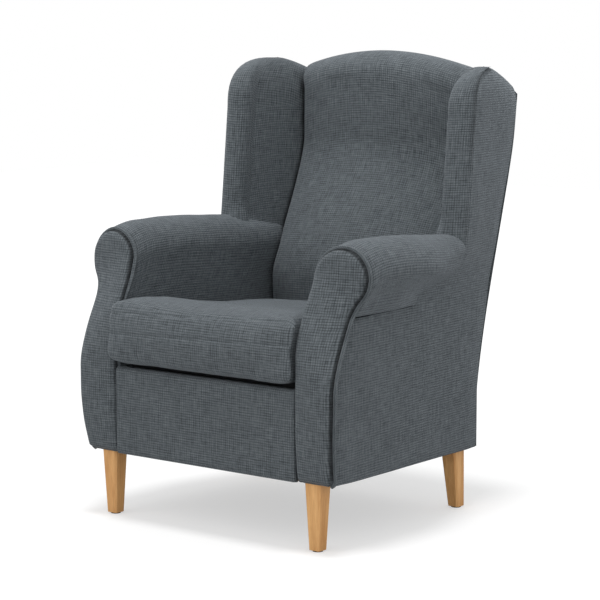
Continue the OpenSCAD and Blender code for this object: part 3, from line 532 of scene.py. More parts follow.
def arm_section(y):
    """Section of the arm: a free roll in front, whose outer side runs into the chair's side behind."""
    t = np.clip((y - ARCH_FRONT_Y) / (ARCH_REAR_Y - ARCH_FRONT_Y), 0, 1)
    cz = ROLL_Z + float(roll_rise(t))
    a = np.radians(np.linspace(180, ROLL_END_DEG, 45))
    arc = np.stack([ROLL_X + ROLL_R * np.cos(a), cz + ROLL_R * np.sin(a)], -1)
    low = np.array([[0.3655, 0.513], [0.3585, 0.501], [0.3515, 0.4945], [0.3460, 0.4925]])
    off = 0.0006 - 0.006 * float(ease((y - 0.0975) / 0.06))
    # Behind, the section turns over a shoulder and then runs down the side.
    k = np.clip((math.pi / 2 - a) / math.radians(90 - ROLL_END_DEG), 0, 1)
    turn = np.clip(k / 0.55, 0, 1) * math.pi / 2
    shoulder_z, side_end_z = 0.592, 0.530
    shoulder = shoulder_z + (cz + ROLL_R - shoulder_z) * np.cos(turn)
    z = np.where(k < 0.55, shoulder, lerp(shoulder_z, side_end_z, (k - 0.55) / 0.45))
    out = side_x(y, z) + off + arm_swell(y, z)
    x = ROLL_X + (out - ROLL_X) * np.sin(turn) ** 0.9
    flat = np.where((a > math.pi / 2)[:, None], arc, np.stack([x, z], -1))
    flat_low = np.stack([side_x(y, low[:, 1]) + off, low[:, 1]], -1)
    # The seam under the roll fades first, then the roll itself goes into the side.
    w_low = float(ease((y + 0.200) / 0.190))
    w = lerp(w_low, float(ease((y + 0.065) / 0.195)), ease((arc[:, 1] - 0.515) / 0.055))[:, None]
    inside = np.array([[0.3400, 0.4905], [0.290, 0.4905], [0.2815, 0.470], [0.2815, 0.310],
        [0.2790, RAIL_TOP_Z]])
    inside[0, 0] = min(inside[0, 0], float(side_x(y, ARM_SEAM_Z)) - 0.004)
    rise = np.stack([np.full(23, SEAT_HALF), np.linspace(RAIL_TOP_Z, cz, 24)[:-1]], -1)
    section = np.concatenate([rise, lerp(arc, flat, w), lerp(low, flat_low, w_low), inside])
    # At the back the inner face leads into the wing's.
    x, z = section[:, 0], section[:, 1]
    pull = 0.0112 * above_seat(z) * (1 - ease((z - 0.600) / 0.04)) * ease((y - 0.05) / 0.11)
    section[:, 0] = x - pull * np.clip((0.300 - x) / 0.035, 0, 1)
    return section


def make_arm():
    sewn_width, sewn_depth = 0.016, 0.0080
    centre = np.array([0.300, 0.52])
    rings = []
    ys = np.concatenate([[0, 0.0005, 0.002, 0.005, 0.009, 0.014], np.linspace(0.020, 0.635, 92)])
    for d in ys:
        section = arm_section(ARM_FRONT_Y + d)
        across = face_share(section[:, 0])
        low, high = face_y(section[:, 1], across) + FACING_T + 0.0030, ARM_FRONT_Y + d
        y = low + d + (high - low - d) * ease(d / 0.30)
        y = np.minimum(y, pad_rear_y(section[:, 1]))
        # The cover draws in where it is sewn to the arm's front.
        shy = sewn_depth * (1 - math.sqrt(1 - max(0, 1 - d / sewn_width) ** 2))
        way = section - centre
        way /= np.linalg.norm(way, axis=1)[:, None]
        section = section - way * shy
        rings.append(np.stack([section[:, 0], y, section[:, 1]], -1))
    rings = np.array(rings)
    waves = ripples(rings, 16.0, 1.7) * 0.0010
    free = np.clip((rings[..., 2] - 0.50) / 0.05, 0, 1) * np.clip((ys[:, None] - 0.02) / 0.03, 0, 1)
    rings[..., 2] += waves * free
    # Painted shade along the seam at the arm's front and where the arm goes into the gap beside the
    # back.
    front_seam_shade = 0.5 * (1 - ease(ys[:, None] / 0.005))
    dark = np.maximum(front_seam_shade, near_back(rings[..., 1], rings[..., 2]) * (rings[..., 0] < ROLL_X))
    return tube("right_arm_cover", rings, painted_shade=dark)


def foot_corner(z):
    """How far the arm front's lower outer corner is rounded off."""
    return 0.8 * round_edge(z - FRAME_Z, FOOT_CORNER_R)


def facing_levels(low_count, roll_count, first_deg, last_deg):
    """Heights up the arm's front, which lie closer together round its roll."""
    round_roll = np.radians(np.linspace(first_deg, last_deg, roll_count))
    low = np.linspace(FRAME_Z, ROLL_Z, low_count)
    return np.concatenate([low, ROLL_Z + FACE_R * np.sin(round_roll)])


def facing_sides(z):
    """Inner and outer edge of the arm's front at each height."""
    r = FACE_R
    z = np.asarray(z, float)
    up = np.clip((z - ROLL_Z) / r, -1, 1)
    bow = r * np.sqrt(1 - up * up)
    inside = SEAT_HALF + 0.0015 + (ROLL_R - r - 0.0015) * ease((z - 0.5) / 0.07)
    inner = np.where(z < ROLL_Z, inside, ROLL_X - bow)
    out_x = SEAT_HALF + ARM_FRONT_W - 0.0035
    foot_x = SEAT_HALF + ARM_FRONT_W * 0.86
    belly_z = lerp(FRAME_Z, ROLL_Z, 0.45)
    neck_z = lerp(belly_z, ROLL_Z, 0.62)
    lift = math.radians(ROLL_END_DEG)
    join_x, join_z = ROLL_X + r * math.cos(lift), ROLL_Z + r * math.sin(lift)
    t = np.clip((z - neck_z) / (join_z - neck_z), 0, 1)
    slope = -math.tan(lift) * (join_z - neck_z)
    neck = out_x * (2 * t**3 - 3 * t**2 + 1) + join_x * (3 * t**2 - 2 * t**3) + slope * (t**3 - t**2)
    low = lerp(out_x, foot_x, np.clip((belly_z - z) / (belly_z - FRAME_Z), 0, 1) ** 2) - foot_corner(z)
    outer = np.where(z < neck_z, low, np.where(z < join_z, neck, ROLL_X + bow))
    return inner, outer


def facing_route():
    """The arm front's outline from its inner foot over the roll to its outer foot."""
    z = facing_levels(60, 30, 3, 89.9)
    inner, outer = facing_sides(z)
    return np.concatenate([np.stack([inner, z], -1), np.stack([outer[::-1], z[::-1]], -1)])


def make_facing():
    z = facing_levels(50, 26, 4, 89.2)
    inner, outer = facing_sides(z)
    u = 0.5 - 0.5 * np.cos(np.linspace(0, math.pi, 27))
    x = lerp(inner[:, None], outer[:, None], u[None, :])
    zz = np.broadcast_to(z[:, None], x.shape)
    line = resample(np.concatenate([facing_route(), facing_route()[:1]]), 900)
    gap = np.sqrt(((np.stack([x, zz], -1)[:, :, None, :] - line[None, None]) ** 2).sum(-1)).min(-1)
    across = face_share(x)
    y = face_y(zz, across) + round_edge(gap, 0.013) - 0.0035 * ease(gap / 0.045)
    front = np.stack([x, y, zz], -1)
    front[..., 1] += ripples(front, 20.0, 0.9) * 0.0006
    back = np.stack([x, face_y(zz, across) + FACING_T, zz], -1)
    # Painted shade along its edge, where it meets the piping, is weaker beside the border and along the
    # foot.
    joined = np.maximum(ease((BORDER_TOP_Z - zz) / 0.01) * (x < SEAT_HALF + 0.03), zz < FRAME_Z + 0.012)
    cloth = np.stack([x, zz, lerp(0.9, 0.3, joined) * (1 - ease((gap - 0.0005) / 0.0030))], -1)
    return shell("right_arm_front", front, back, cloth)


def make_facing_welt():
    line = resample(facing_route(), 150)
    across = face_share(line[:, 0])
    way = np.gradient(line, axis=0)
    way = np.stack([-way[:, 1], way[:, 0]], -1) / np.linalg.norm(way, axis=1)[:, None]
    # The piping stands proud round the roll and down the outer edge.
    proud = 0.0030 * np.maximum(ease((line[:, 1] - 0.49) / 0.05), ease((line[:, 0] - 0.320) / 0.02))
    y = face_y(line[:, 1], across) + FACING_T + 0.0012
    route = np.stack([line[:, 0] + way[:, 0] * proud, y, line[:, 1] + way[:, 1] * proud], -1)
    return pipe("right_arm_welt", route, WELT_R + 0.0004)


def side_front_edge(z):
    """Front edge of the side's outer cover: behind the arm's front, then hidden in the arm's roll,
    then along the wing."""
    z = np.asarray(z, float)
    arm = face_y(z, 1.0) + FACING_T - 0.0010 + foot_corner(z)
    inside = lerp(-0.090, float(fold_y(WING_START_Z)), ease((z - 0.492) / 0.128))
    return np.where(z < SIDE_SPLIT_Z, arm, np.where(z < WING_START_Z, inside, wing_edge_y(z)))


def make_side():
    top = WING_H - WING_CORNER_R
    z_low = np.linspace(FRAME_Z, LOW_SIDE_TOP_Z, 34)
    z_corner = top + (WING_CORNER_R + 0.0008) * np.sin(np.radians(CORNER_TURNS))
    z_all = np.concatenate([z_low, [0.4895, 0.492], np.linspace(0.497, top, 56), z_corner])
    v = face_spread(60)
    front, dark = np.zeros((len(z_all), len(v), 3)), np.zeros((len(z_all), len(v)))
    thick = np.full((len(z_all), 1), PANEL_T)
    for i, z in enumerate(z_all):
        low_part = z < SIDE_SPLIT_Z
        start = float(side_front_edge(z))
        share = float(ease((z - FLARE_TOP_Z) / (WING_H - FLARE_TOP_Z)))
        end = float(panel_front_y(z) + 0.004 - corner_ease(z))
        y = lerp(start, end, v)
        zz = z - share * wing_fall(y)
        if low_part:
            # The lower edge runs down towards the rear.
            down = np.clip((LOW_SIDE_TOP_Z - z) / (LOW_SIDE_TOP_Z - FRAME_Z), 0, 1) ** 6
            zz = zz - (FRAME_Z - SKIRT_REAR_Z) * down * v
        edge = np.minimum(y - start, end - y)
        x = side_x(y, z) + 0.0035 * ease(edge / 0.05)
        x = x - round_edge(edge, 0.0045) * (0.25 if low_part else 1)
        x = x + arm_swell(y, z) * (not low_part)
        x = x - 0.4 * round_edge(z - FRAME_Z, 0.006)
        if z > top:
            # The upper edge rolls over onto the wing's padding.
            up = min((z - top) / WING_CORNER_R, 1.0)
            f = corner_thickness(up, COVER_POWER)
            x = lerp((wing_in_x(y, z) + side_x(y, z)) / 2, x, f)
            thick[i] *= f
        front[i] = np.stack([x, y, zz], -1)
        # Painted shade along the cover's front and rear edges, stronger along the wing's front seam.
        dark[i] = (1 - ease((edge - 0.001) / 0.004)) * (0.6 if low_part else float(wing_seam_shade(z)))
    front[..., 0] += ripples(front, 11.0, 2.9) * 0.0009
    back = front.copy()
    back[..., 0] -= thick
    return shell("right_outside_cover", front, back, np.stack([front[..., 1], front[..., 2], dark], -1))


def make_border():
    half = SEAT_HALF + 0.001
    top, low = BORDER_TOP_Z, FRAME_Z
    lip = 0.009
    a = np.linspace(math.pi, math.pi / 2, 10)
    z_front = np.linspace(low, top - lip, 26)
    rail_y, rail_z, lap_y = RAIL_Y - CLEAR, RAIL_TOP_Z + CLEAR, RAIL_Y + 0.012
    behind = [[lap_y, top], [lap_y, rail_z], [rail_y, rail_z], [rail_y, low]]
    rings = []
    for u in edge_spread(61):
        bow = 0.0025 * (1 - u**4)
        ends = round_edge((1 - abs(u)) * half, 0.004)
        y = BORDER_Y - bow * np.sin((z_front - low) / (top - low) * math.pi) + ends
        y = y + 0.7 * round_edge(z_front - low, 0.006)
        over = np.stack([BORDER_Y + ends + lip + lip * np.cos(a), top - lip + lip * np.sin(a)], -1)
        p = np.concatenate([np.stack([y, z_front], -1), over[1:], behind])
        rings.append(np.stack([np.full(len(p), u * half), p[:, 0], p[:, 1]], -1))
    # Painted shade at the border's ends, where it meets the arm fronts.
    dark = 0.2 * (1 - ease(((1 - np.abs(edge_spread(61))) * half - 0.001) / 0.004))[:, None]
    return tube("front_border_cover", rings, painted_shade=dark)


def back_top(x, inset):
    """Top line of the rear panel."""
    corner = REAR_CORNER_Z - 3 * inset - PANEL_T
    side = BACK_HALF - inset
    t = np.clip((np.abs(x) - NOTCH_X) / (side - NOTCH_X), 0, 1)
    middle = crest_z(np.minimum(np.abs(x), NOTCH_X)) - CREST_FALL - inset
    notch = crest_z(NOTCH_X) - CREST_FALL - inset
    return np.where(np.abs(x) < NOTCH_X, middle, lerp(notch, corner, t))


def make_outside_back():
    # The panel's sides and top reach under the piping.
    inset = 2 * WELT_R - 0.001
    half = BACK_HALF - inset + 0.0025
    x = edge_spread(61) * half
    v = face_spread(80)
    xx = np.broadcast_to(x[None, :], (80, 61))
    top = back_top(x, inset) + 0.0035
    zz = lerp(SKIRT_REAR_Z, top[None, :], v[:, None])
    edge = np.minimum(half - np.abs(xx), top[None, :] - zz)
    y = rear_y(zz) - round_edge(edge, 0.004) + 0.004 * ease(edge / 0.12) - rear_corner(xx, zz)
    front = np.stack([xx, y, zz], -1)
    front[..., 1] += ripples(front, 9.0, 4.1) * 0.0010
    back = np.stack([xx, rear_y(zz) - PANEL_T, zz], -1)
    return shell("outside_back_cover", front, back, np.stack([xx, zz], -1))


def make_back_welt():
    side = BACK_HALF - WELT_R
    top = REAR_CORNER_Z - 3 * WELT_R - PANEL_T
    z = np.linspace(SKIRT_REAR_Z, top, 40)
    x = np.linspace(NOTCH_X, -NOTCH_X, 40)
    over = np.stack([x, crest_z(x) - CREST_FALL - WELT_R], -1)
    up = np.stack([np.full(40, side), z], -1)
    down = np.stack([np.full(40, -side), z[::-1]], -1)
    line = resample(np.concatenate([up, over, down]), 260)
    y = rear_y(line[:, 1]) - rear_corner(line[:, 0], line[:, 1])
    # The last argument darkens the whole rear piping with painted shade.
    return pipe("back_piping", np.stack([line[:, 0], y, line[:, 1]], -1), WELT_R - CLEAR, 0.5)


# The seat cushion, drawn level and then tipped back to the seat's rake
def tip(p):
    """From the cushion's own level frame to the chair's."""
    y = p[..., 1] + CUSHION_LEN / 2
    c, s = math.cos(SEAT_RAKE), math.sin(SEAT_RAKE)
    place_y = FRONT_Y - CUSHION_SETBACK * s + y * c + p[..., 2] * s
    return np.stack([p[..., 0], place_y, CUSHION_LOW_Z - y * s + p[..., 2] * c], -1)


def untip(p):
    """From the chair's frame back to the cushion's own."""
    c, s = math.cos(SEAT_RAKE), math.sin(SEAT_RAKE)
    y, z = p[..., 1] - FRONT_Y + CUSHION_SETBACK * s, p[..., 2] - CUSHION_LOW_Z
    return np.stack([p[..., 0], y * c - z * s - CUSHION_LEN / 2, y * s + z * c], -1)


def cushion_top(x, y):
    """Height of the cushion's top above its underside: high along the front, lower behind,
    and crowned at the back."""
    along = np.asarray(y, float) + CUSHION_LEN / 2
    edge = np.interp(along, [0, 0.05, 0.10, 0.15, 0.20, 0.25, 0.30, 0.36, 0.45, 0.51],
        [0.141, 0.144, 0.144, 0.139, 0.133, 0.129, 0.126, 0.126, 0.129, 0.126])
    crown = np.clip(1 - (x / CUSHION_HALF) ** 2, 0, 1) ** 1.4
    return edge + crown * lerp(-0.006, 0.011, ease((along - 0.12) / 0.26))


def cushion_plan(side, front):
    """Outline of the cushion at one level, drawn in at its sides and back and at its front."""
    front_reach = 0.0045
    hx, high = CUSHION_HALF - side, CUSHION_LEN / 2 - side
    low = front - CUSHION_LEN / 2 - front_reach
    r = min(CUSHION_CORNER_R + side / 2, 0.9 * hx)
    arcs = []
    corners = ((hx - r, high - r), (r - hx, high - r), (r - hx, low + r), (hx - r, low + r))
    for (cx, cy), start in zip(corners, (0, 90, 180, 270)):
        a = np.radians(start + np.linspace(0, 90, 9))
        arcs.append(np.stack([cx + r * np.cos(a), cy + r * np.sin(a)], -1))
    between = np.linspace(0, 1, 26)[1:-1, None]
    line = []
    for k in range(4):
        line += [arcs[k], lerp(arcs[k][-1], arcs[(k + 1) % 4][0], between)]
    return np.concatenate(line)


def cushion_rings():
    """The cushion before it is filled: boxed sides, a crowned top and a front that rolls over."""
    # Each level: share of the height, how far its sides and its front draw in
    levels = [
        (0.0, 0.200, 0.200), (0.0, 0.120, 0.120), (0.0, 0.060, 0.060), (0.0, 0.022, 0.022),
        (0.02, 0.008, 0.009), (0.07, 0.002, 0.003), (0.16, 0.0, 0.0), (0.32, 0.001, 0.0),
        (0.50, 0.002, 0.0), (0.66, 0.001, 0.001), (0.78, 0.001, 0.003), (0.86, 0.001, 0.007),
        (0.92, 0.003, 0.013), (0.96, 0.007, 0.021), (0.985, 0.014, 0.032), (1.0, 0.030, 0.050),
        (1.0, 0.060, 0.075), (1.0, 0.100, 0.110), (1.0, 0.150, 0.150), (1.0, 0.205, 0.205),
    ]
    rings = []
    for share, side, front in levels:
        p = cushion_plan(side, front)
        rings.append(np.stack([p[:, 0], p[:, 1], share * cushion_top(p[:, 0], p[:, 1])], -1))
    return rings


def fill_cushion(obj):
    """Swells the cushion like a filled cover and keeps a share of the result."""
    last_frame, keep, cap = 20, 0.30, 0.024
    mod = obj.modifiers.new("remesh", "REMESH")
    mod.mode = "VOXEL"
    mod.voxel_size = 0.0055
    apply_modifiers(obj)
    start = coords(obj)
    cloth = obj.modifiers.new("cloth", "CLOTH")
    cloth.settings.use_pressure = True
    cloth.settings.uniform_pressure_force = 4.0
    cloth.settings.effector_weights.gravity = 0
    cloth.settings.tension_stiffness = 12
    cloth.settings.compression_stiffness = 12
    cloth.settings.bending_stiffness = 0.4
    cloth.point_cache.frame_start = 1
    cloth.point_cache.frame_end = last_frame
    for f in range(1, last_frame + 1):
        scene.frame_set(f)
    bpy.context.view_layer.update()
    graph = bpy.context.evaluated_depsgraph_get()
    moved = obj.evaluated_get(graph).to_mesh()
    end = np.zeros(len(moved.vertices) * 3)
    moved.vertices.foreach_get("co", end)
    end = end.reshape(-1, 3)
    obj.modifiers.remove(cloth)
    scene.frame_set(1)
    shift = end - start
    far = np.linalg.norm(shift, axis=1)
    shift *= keep * np.minimum(1, cap / np.maximum(far, 1e-9))[:, None]
    set_coords(obj, start + shift)


def coords(obj):
    co = np.zeros(len(obj.data.vertices) * 3)
    obj.data.vertices.foreach_get("co", co)
    return co.reshape(-1, 3)


def set_coords(obj, p):
    obj.data.vertices.foreach_set("co", np.asarray(p, float).ravel())
    obj.data.update()


def apply_modifiers(obj):
    graph = bpy.context.evaluated_depsgraph_get()
    new = bpy.data.meshes.new_from_object(
        obj.evaluated_get(graph), preserve_all_data_layers=True, depsgraph=graph)
    obj.modifiers.clear()
    old = obj.data
    obj.data = new
    bpy.data.meshes.remove(old)


def subdivide(obj, levels):
    mod = obj.modifiers.new("smooth", "SUBSURF")
    mod.levels = mod.render_levels = levels
    apply_modifiers(obj)


def chart_cloth(obj, to_local):
    """Lays the cloth's coordinates on each face from its own side."""
    mesh = obj.data
    local = to_local(coords(obj))
    normals = np.zeros(len(mesh.polygons) * 3)
    mesh.polygons.foreach_get("normal", normals)
    normals = normals.reshape(-1, 3)
    total = np.zeros(len(mesh.polygons), int)
    mesh.polygons.foreach_get("loop_total", total)
    vert = np.zeros(len(mesh.loops), int)
    mesh.loops.foreach_get("vertex_index", vert)
    side = np.repeat(np.argmax(np.abs(normals), axis=1), total)
    p = local[vert]
    data = np.zeros((len(mesh.loops), 3), np.float32)
    data[:, 0] = np.where(side == 0, p[:, 1], p[:, 0])
    data[:, 1] = np.where(side == 2, p[:, 1], p[:, 2])
    if "cloth" in mesh.attributes:
        mesh.attributes.remove(mesh.attributes["cloth"])
    mesh.attributes.new("cloth", "FLOAT_VECTOR", "CORNER").data.foreach_set("vector", data.ravel())


def make_cushion():
    obj = tube("seat_cushion_cover", cushion_rings())
    fill_cushion(obj)
    subdivide(obj, 1)
    p = coords(obj)
    # The arms hold the sides in; only the front corners stand free of them.
    place = tip(p)
    free = ease((face_y(place[:, 2], 0.0) + 0.001 - place[:, 1]) / 0.014)
    limit = CUSHION_HALF + 0.0150 * free
    near = ease((np.abs(p[:, 0]) - CUSHION_HALF + 0.045) / 0.045)
    p[:, 0] = np.clip(p[:, 0] * (1 + 0.062 * free * near), -limit, limit)
    p[:, 1] = np.clip(p[:, 1], -CUSHION_LEN / 2 - 0.0105, CUSHION_LEN / 2)
    p[:, 2] = np.maximum(p[:, 2], 0.0)
    # Two seams cross the front.
    for height, rise, depth in ((0.119, 0.010, 0.0018), (0.073, 0.009, 0.0014)):
        near = np.exp(-(((p[:, 2] - height - rise * p[:, 0] / CUSHION_HALF) / 0.0032) ** 2))
        front = ease((-CUSHION_LEN / 2 + 0.06 - p[:, 1]) / 0.03)
        p[:, 1] += front * depth * near
    set_coords(obj, tip(p))
    outward(obj)
    obj.data.polygons.foreach_set("use_smooth", [True] * len(obj.data.polygons))
    chart_cloth(obj, untip)
    return obj


# Materials
def new_material(name):
    mat = bpy.data.materials.new(name)
    mat.use_nodes = True
    tree = mat.node_tree
    tree.nodes.clear()
    out = tree.nodes.new("ShaderNodeOutputMaterial")
    bsdf = tree.nodes.new("ShaderNodeBsdfPrincipled")
    tree.links.new(bsdf.outputs[0], out.inputs[0])
    return mat, Graph(tree), bsdf


class Graph:
    """Short way to write a node tree."""

    def __init__(self, tree):
        self.tree = tree

    def put(self, socket, value):
        if isinstance(value, bpy.types.NodeSocket):
            self.tree.links.new(value, socket)
        else:
            socket.default_value = value

    def math(self, op, a, b=0.0, c=0.0, clamp=False):
        n = self.tree.nodes.new("ShaderNodeMath")
        n.operation = op
        n.use_clamp = clamp
        for k, v in enumerate((a, b, c)):
            self.put(n.inputs[k], v)
        return n.outputs[0]

    def xyz(self, x, y, z=0.0):
        n = self.tree.nodes.new("ShaderNodeCombineXYZ")
        for k, v in enumerate((x, y, z)):
            self.put(n.inputs[k], v)
        return n.outputs[0]

    def noise(self, vector, scale, detail=2.0, rough=0.5):
        n = self.tree.nodes.new("ShaderNodeTexNoise")
        self.put(n.inputs["Vector"], vector)
        n.inputs["Scale"].default_value = scale
        n.inputs["Detail"].default_value = detail
        n.inputs["Roughness"].default_value = rough
        return n.outputs["Fac"]

    def white(self, vector):
        n = self.tree.nodes.new("ShaderNodeTexWhiteNoise")
        n.noise_dimensions = "3D"
        self.put(n.inputs["Vector"], vector)
        return n.outputs["Value"]

    def scale(self, vector, by):
        n = self.tree.nodes.new("ShaderNodeVectorMath")
        n.operation = "MULTIPLY"
        self.put(n.inputs[0], vector)
        n.inputs[1].default_value = by
        return n.outputs[0]

    def fade(self, colour, by):
        n = self.tree.nodes.new("ShaderNodeVectorMath")
        n.operation = "SCALE"
        self.put(n.inputs[0], colour)
        self.put(n.inputs["Scale"], by)
        return n.outputs[0]

    def ramp(self, fac, stops):
        n = self.tree.nodes.new("ShaderNodeValToRGB")
        self.put(n.inputs[0], fac)
        while len(n.color_ramp.elements) < len(stops):
            n.color_ramp.elements.new(0.5)
        for e, (at, colour) in zip(n.color_ramp.elements, stops):
            e.position = at
            e.color = (*colour, 1)
        return n.outputs[0]

    def bump(self, height, distance, strength=1.0):
        n = self.tree.nodes.new("ShaderNodeBump")
        self.put(n.inputs["Height"], height)
        n.inputs["Distance"].default_value = distance
        n.inputs["Strength"].default_value = strength
        return n.outputs[0]

    def attribute(self, name):
        n = self.tree.nodes.new("ShaderNodeAttribute")
        n.attribute_name = name
        return n.outputs["Vector"]

    def split(self, vector):
        n = self.tree.nodes.new("ShaderNodeSeparateXYZ")
        self.put(n.inputs[0], vector)
        return n.outputs

    def place(self):
        n = self.tree.nodes.new("ShaderNodeTexCoord")
        return n.outputs["Object"]

    def rays(self):
        return self.tree.nodes.new("ShaderNodeLightPath").outputs


THREAD_W = 0.0054
THREAD_STEP = 0.0056
PILE_DEPTH = 0.0009


def upholstery(name, dark, mid, light):
    """Slate chenille: a square weave of soft threads with slubs both ways, with painted shade in its
    seams and gaps and painted light higher up.
    """
    mat, g, bsdf = new_material(name)
    parts = g.split(g.attribute("cloth"))
    cloth = g.xyz(parts[0], parts[1])
    sway = g.noise(cloth, 40.0, 1.0)
    slip = g.noise(g.scale(cloth, (12.0, 60.0, 1.0)), 1.0, 1.0)
    u = g.math("ADD", parts[0], g.math("MULTIPLY", slip, 0.004))
    v = g.math("ADD", parts[1], g.math("MULTIPLY", sway, 0.0014))
    row, step = g.math("MULTIPLY", v, 1 / THREAD_W), g.math("MULTIPLY", u, 1 / THREAD_STEP)
    rib = g.math("SINE", g.math("MULTIPLY", g.math("FRACT", row), math.pi))
    knot = g.math("SINE", g.math("MULTIPLY", g.math("FRACT", step), math.pi))
    cell = g.white(g.xyz(g.math("FLOOR", step), g.math("FLOOR", row), 3.0))
    pile = g.noise(cloth, 900.0, 2.0, 0.7)
    weft = g.noise(g.scale(cloth, (28.0, 330.0, 1.0)), 1.0, 2.0, 0.55)
    warp = g.noise(g.scale(cloth, (330.0, 26.0, 1.0)), 1.0, 2.0, 0.55)
    drift = g.noise(cloth, 7.0, 2.0, 0.5)
    weave = g.math("MULTIPLY", g.math("POWER", rib, 0.6), g.math("POWER", knot, 0.45))
    tone = g.math("MULTIPLY_ADD", weave, 0.68, 0.08)
    for part, share in ((cell, 0.12), (weft, 0.9), (warp, 1.0), (drift, 0.22), (pile, 0.3)):
        tone = g.math("ADD", tone, g.math("MULTIPLY", g.math("SUBTRACT", part, 0.5), share))
    # Painted light makes the cloth paler higher up, where the crest and upper back are lit more,
    # and painted shade darkens it in the seams and gaps.
    height = g.math("MULTIPLY_ADD", g.split(g.place())[2], 2.4, -1.45, clamp=True)
    painted_top_light = g.math("MULTIPLY_ADD", height, 0.17, 1.0)
    shade = g.math("MULTIPLY", g.math("MULTIPLY_ADD", parts[2], -0.8, 1.0), painted_top_light)
    colour = g.ramp(tone, [(0.0, dark), (0.42, mid), (1.0, light)])
    g.put(bsdf.inputs["Base Color"], g.fade(colour, shade))
    relief = g.math("ADD", weave, g.math("MULTIPLY", pile, 0.5))
    g.put(bsdf.inputs["Normal"], g.bump(relief, PILE_DEPTH, 0.9))
    bsdf.inputs["Roughness"].default_value = 0.92
    bsdf.inputs["Specular IOR Level"].default_value = 0.2
    bsdf.inputs["Sheen Roughness"].default_value = 0.45
    bsdf.inputs["Sheen Tint"].default_value = (0.75, 0.82, 0.9, 1)
    g.put(bsdf.inputs["Sheen Weight"], g.math("MULTIPLY", shade, 0.25))
    return mat


def timber(name, dark, light, along, size, rough, gloss=0.4):
    """Wood with its grain along one axis."""
    mat, g, bsdf = new_material(name)
    stretch = [size, size, size]
    stretch[along] = size * 0.07
    place = g.scale(g.place(), tuple(stretch))
    warp = g.noise(place, 0.5, 2.0)
    ring = g.noise(place, 1.0, 4.0, 0.62)
    fine = g.noise(g.scale(place, (5.0, 5.0, 5.0)), 1.0, 3.0, 0.7)
    tone = g.math("MULTIPLY", ring, 0.75)
    for part, share in ((fine, 0.5), (warp, 0.4)):
        tone = g.math("ADD", tone, g.math("MULTIPLY", g.math("SUBTRACT", part, 0.5), share))
    g.put(bsdf.inputs["Base Color"], g.ramp(tone, [(0.2, dark), (0.7, light)]))
    g.put(bsdf.inputs["Normal"], g.bump(fine, 0.0002, 0.5))
    g.put(bsdf.inputs["Roughness"], g.math("MULTIPLY_ADD", fine, 0.2, rough))
    bsdf.inputs["Specular IOR Level"].default_value = gloss
    return mat


def plain(name, dark, light, scale, rough, metal=0.0, bump=0.0002, weave=0.0):
    """Cloth, plastic, foam or metal told apart by its grain, roughness and bump."""
    mat, g, bsdf = new_material(name)
    place = g.place()
    fine = g.noise(place, scale, 3.0, 0.6)
    height = fine
    if weave:
        waves = [g.math("SINE", g.math("MULTIPLY", axis, math.pi / weave)) for axis in g.split(place)]
        warp = [g.math("ABSOLUTE", wave) for wave in waves]
        total = g.math("ADD", g.math("ADD", warp[0], warp[1]), warp[2])
        height = g.math("ADD", g.math("MULTIPLY", total, 0.3), fine)
    g.put(bsdf.inputs["Base Color"], g.ramp(height, [(0.3, dark), (1.0 if weave else 0.75, light)]))
    g.put(bsdf.inputs["Normal"], g.bump(height, bump, 0.8))
    g.put(bsdf.inputs["Roughness"], g.math("MULTIPLY_ADD", fine, 0.2, rough, clamp=True))
    bsdf.inputs["Metallic"].default_value = metal
    return mat


fabric = upholstery(
    "slate_chenille", (0.034, 0.040, 0.044), (0.095, 0.109, 0.119), (0.172, 0.193, 0.207))
GREY = (0.38, 0.38, 0.39), (0.56, 0.56, 0.57)
DARK_GREY = (0.16, 0.16, 0.17), (0.30, 0.30, 0.31)
BLACK = (0.010, 0.010, 0.010), (0.030, 0.030, 0.030)
BLACK_CLOTH = (0.012, 0.012, 0.014), (0.040, 0.041, 0.045)
BLACK_WEB = (0.015, 0.015, 0.015), (0.060, 0.060, 0.060)
STRAW = (0.52, 0.48, 0.30), (0.72, 0.68, 0.47)
BY_SLOT = {
    "upholstery": fabric,
    "leg_wood": timber("honey_wood", (0.64, 0.310, 0.105), (0.95, 0.56, 0.235), 2, 90.0, 0.34),
    "frame_wood": timber("frame_wood", (0.40, 0.26, 0.14), (0.62, 0.45, 0.27), 0, 70.0, 0.75, 0.2),
    "plywood": timber("plywood", (0.46, 0.32, 0.19), (0.66, 0.50, 0.33), 1, 60.0, 0.7, 0.2),
    "steel": plain("spring_steel", *GREY, 260.0, 0.32, metal=1.0),
    "zip_metal": plain("zip_metal", *DARK_GREY, 400.0, 0.35, metal=1.0),
    "glide_plastic": plain("glide_plastic", *BLACK, 500.0, 0.5),
    "dark_cloth": plain("black_cloth", *BLACK_CLOTH, 700.0, 0.9, bump=0.0005, weave=0.0016),
    "webbing": plain("black_webbing", *BLACK_WEB, 500.0, 0.85, bump=0.0006, weave=0.003),
    "foam": plain("foam", *STRAW, 600.0, 0.95, bump=0.0006),
}
slot_of = {part["node"]: part["material_slot"] for part in frame["record"]["subparts"]}
for node, obj in frame["nodes"].items():
    mat = BY_SLOT[slot_of[node]]
    if not obj.material_slots:
        obj.data.materials.append(mat)
    for place in obj.material_slots:
        place.material = mat


# The covers take the places of the soft solids
def settle(obj):
    """Makes the padding a little uneven, as in the photograph: the top is higher on the left,
    and so is the left arm towards its rear end."""
    top_lean = 0.0062
    arm_front_rise, arm_rear_rise = 0.0015, 0.0075
    p = coords(obj)
    p[:, 2] -= top_lean * np.clip(p[:, 0] / 0.25, -1, 1) * ease((p[:, 2] - 0.80) / 0.18)
    if obj.name == "left_arm_cover":
        rise = lerp(arm_front_rise, arm_rear_rise, ease((p[:, 1] + 0.30) / 0.34))
        p[:, 2] += rise * ease((p[:, 2] - 0.50) / 0.10)
    set_coords(obj, p)


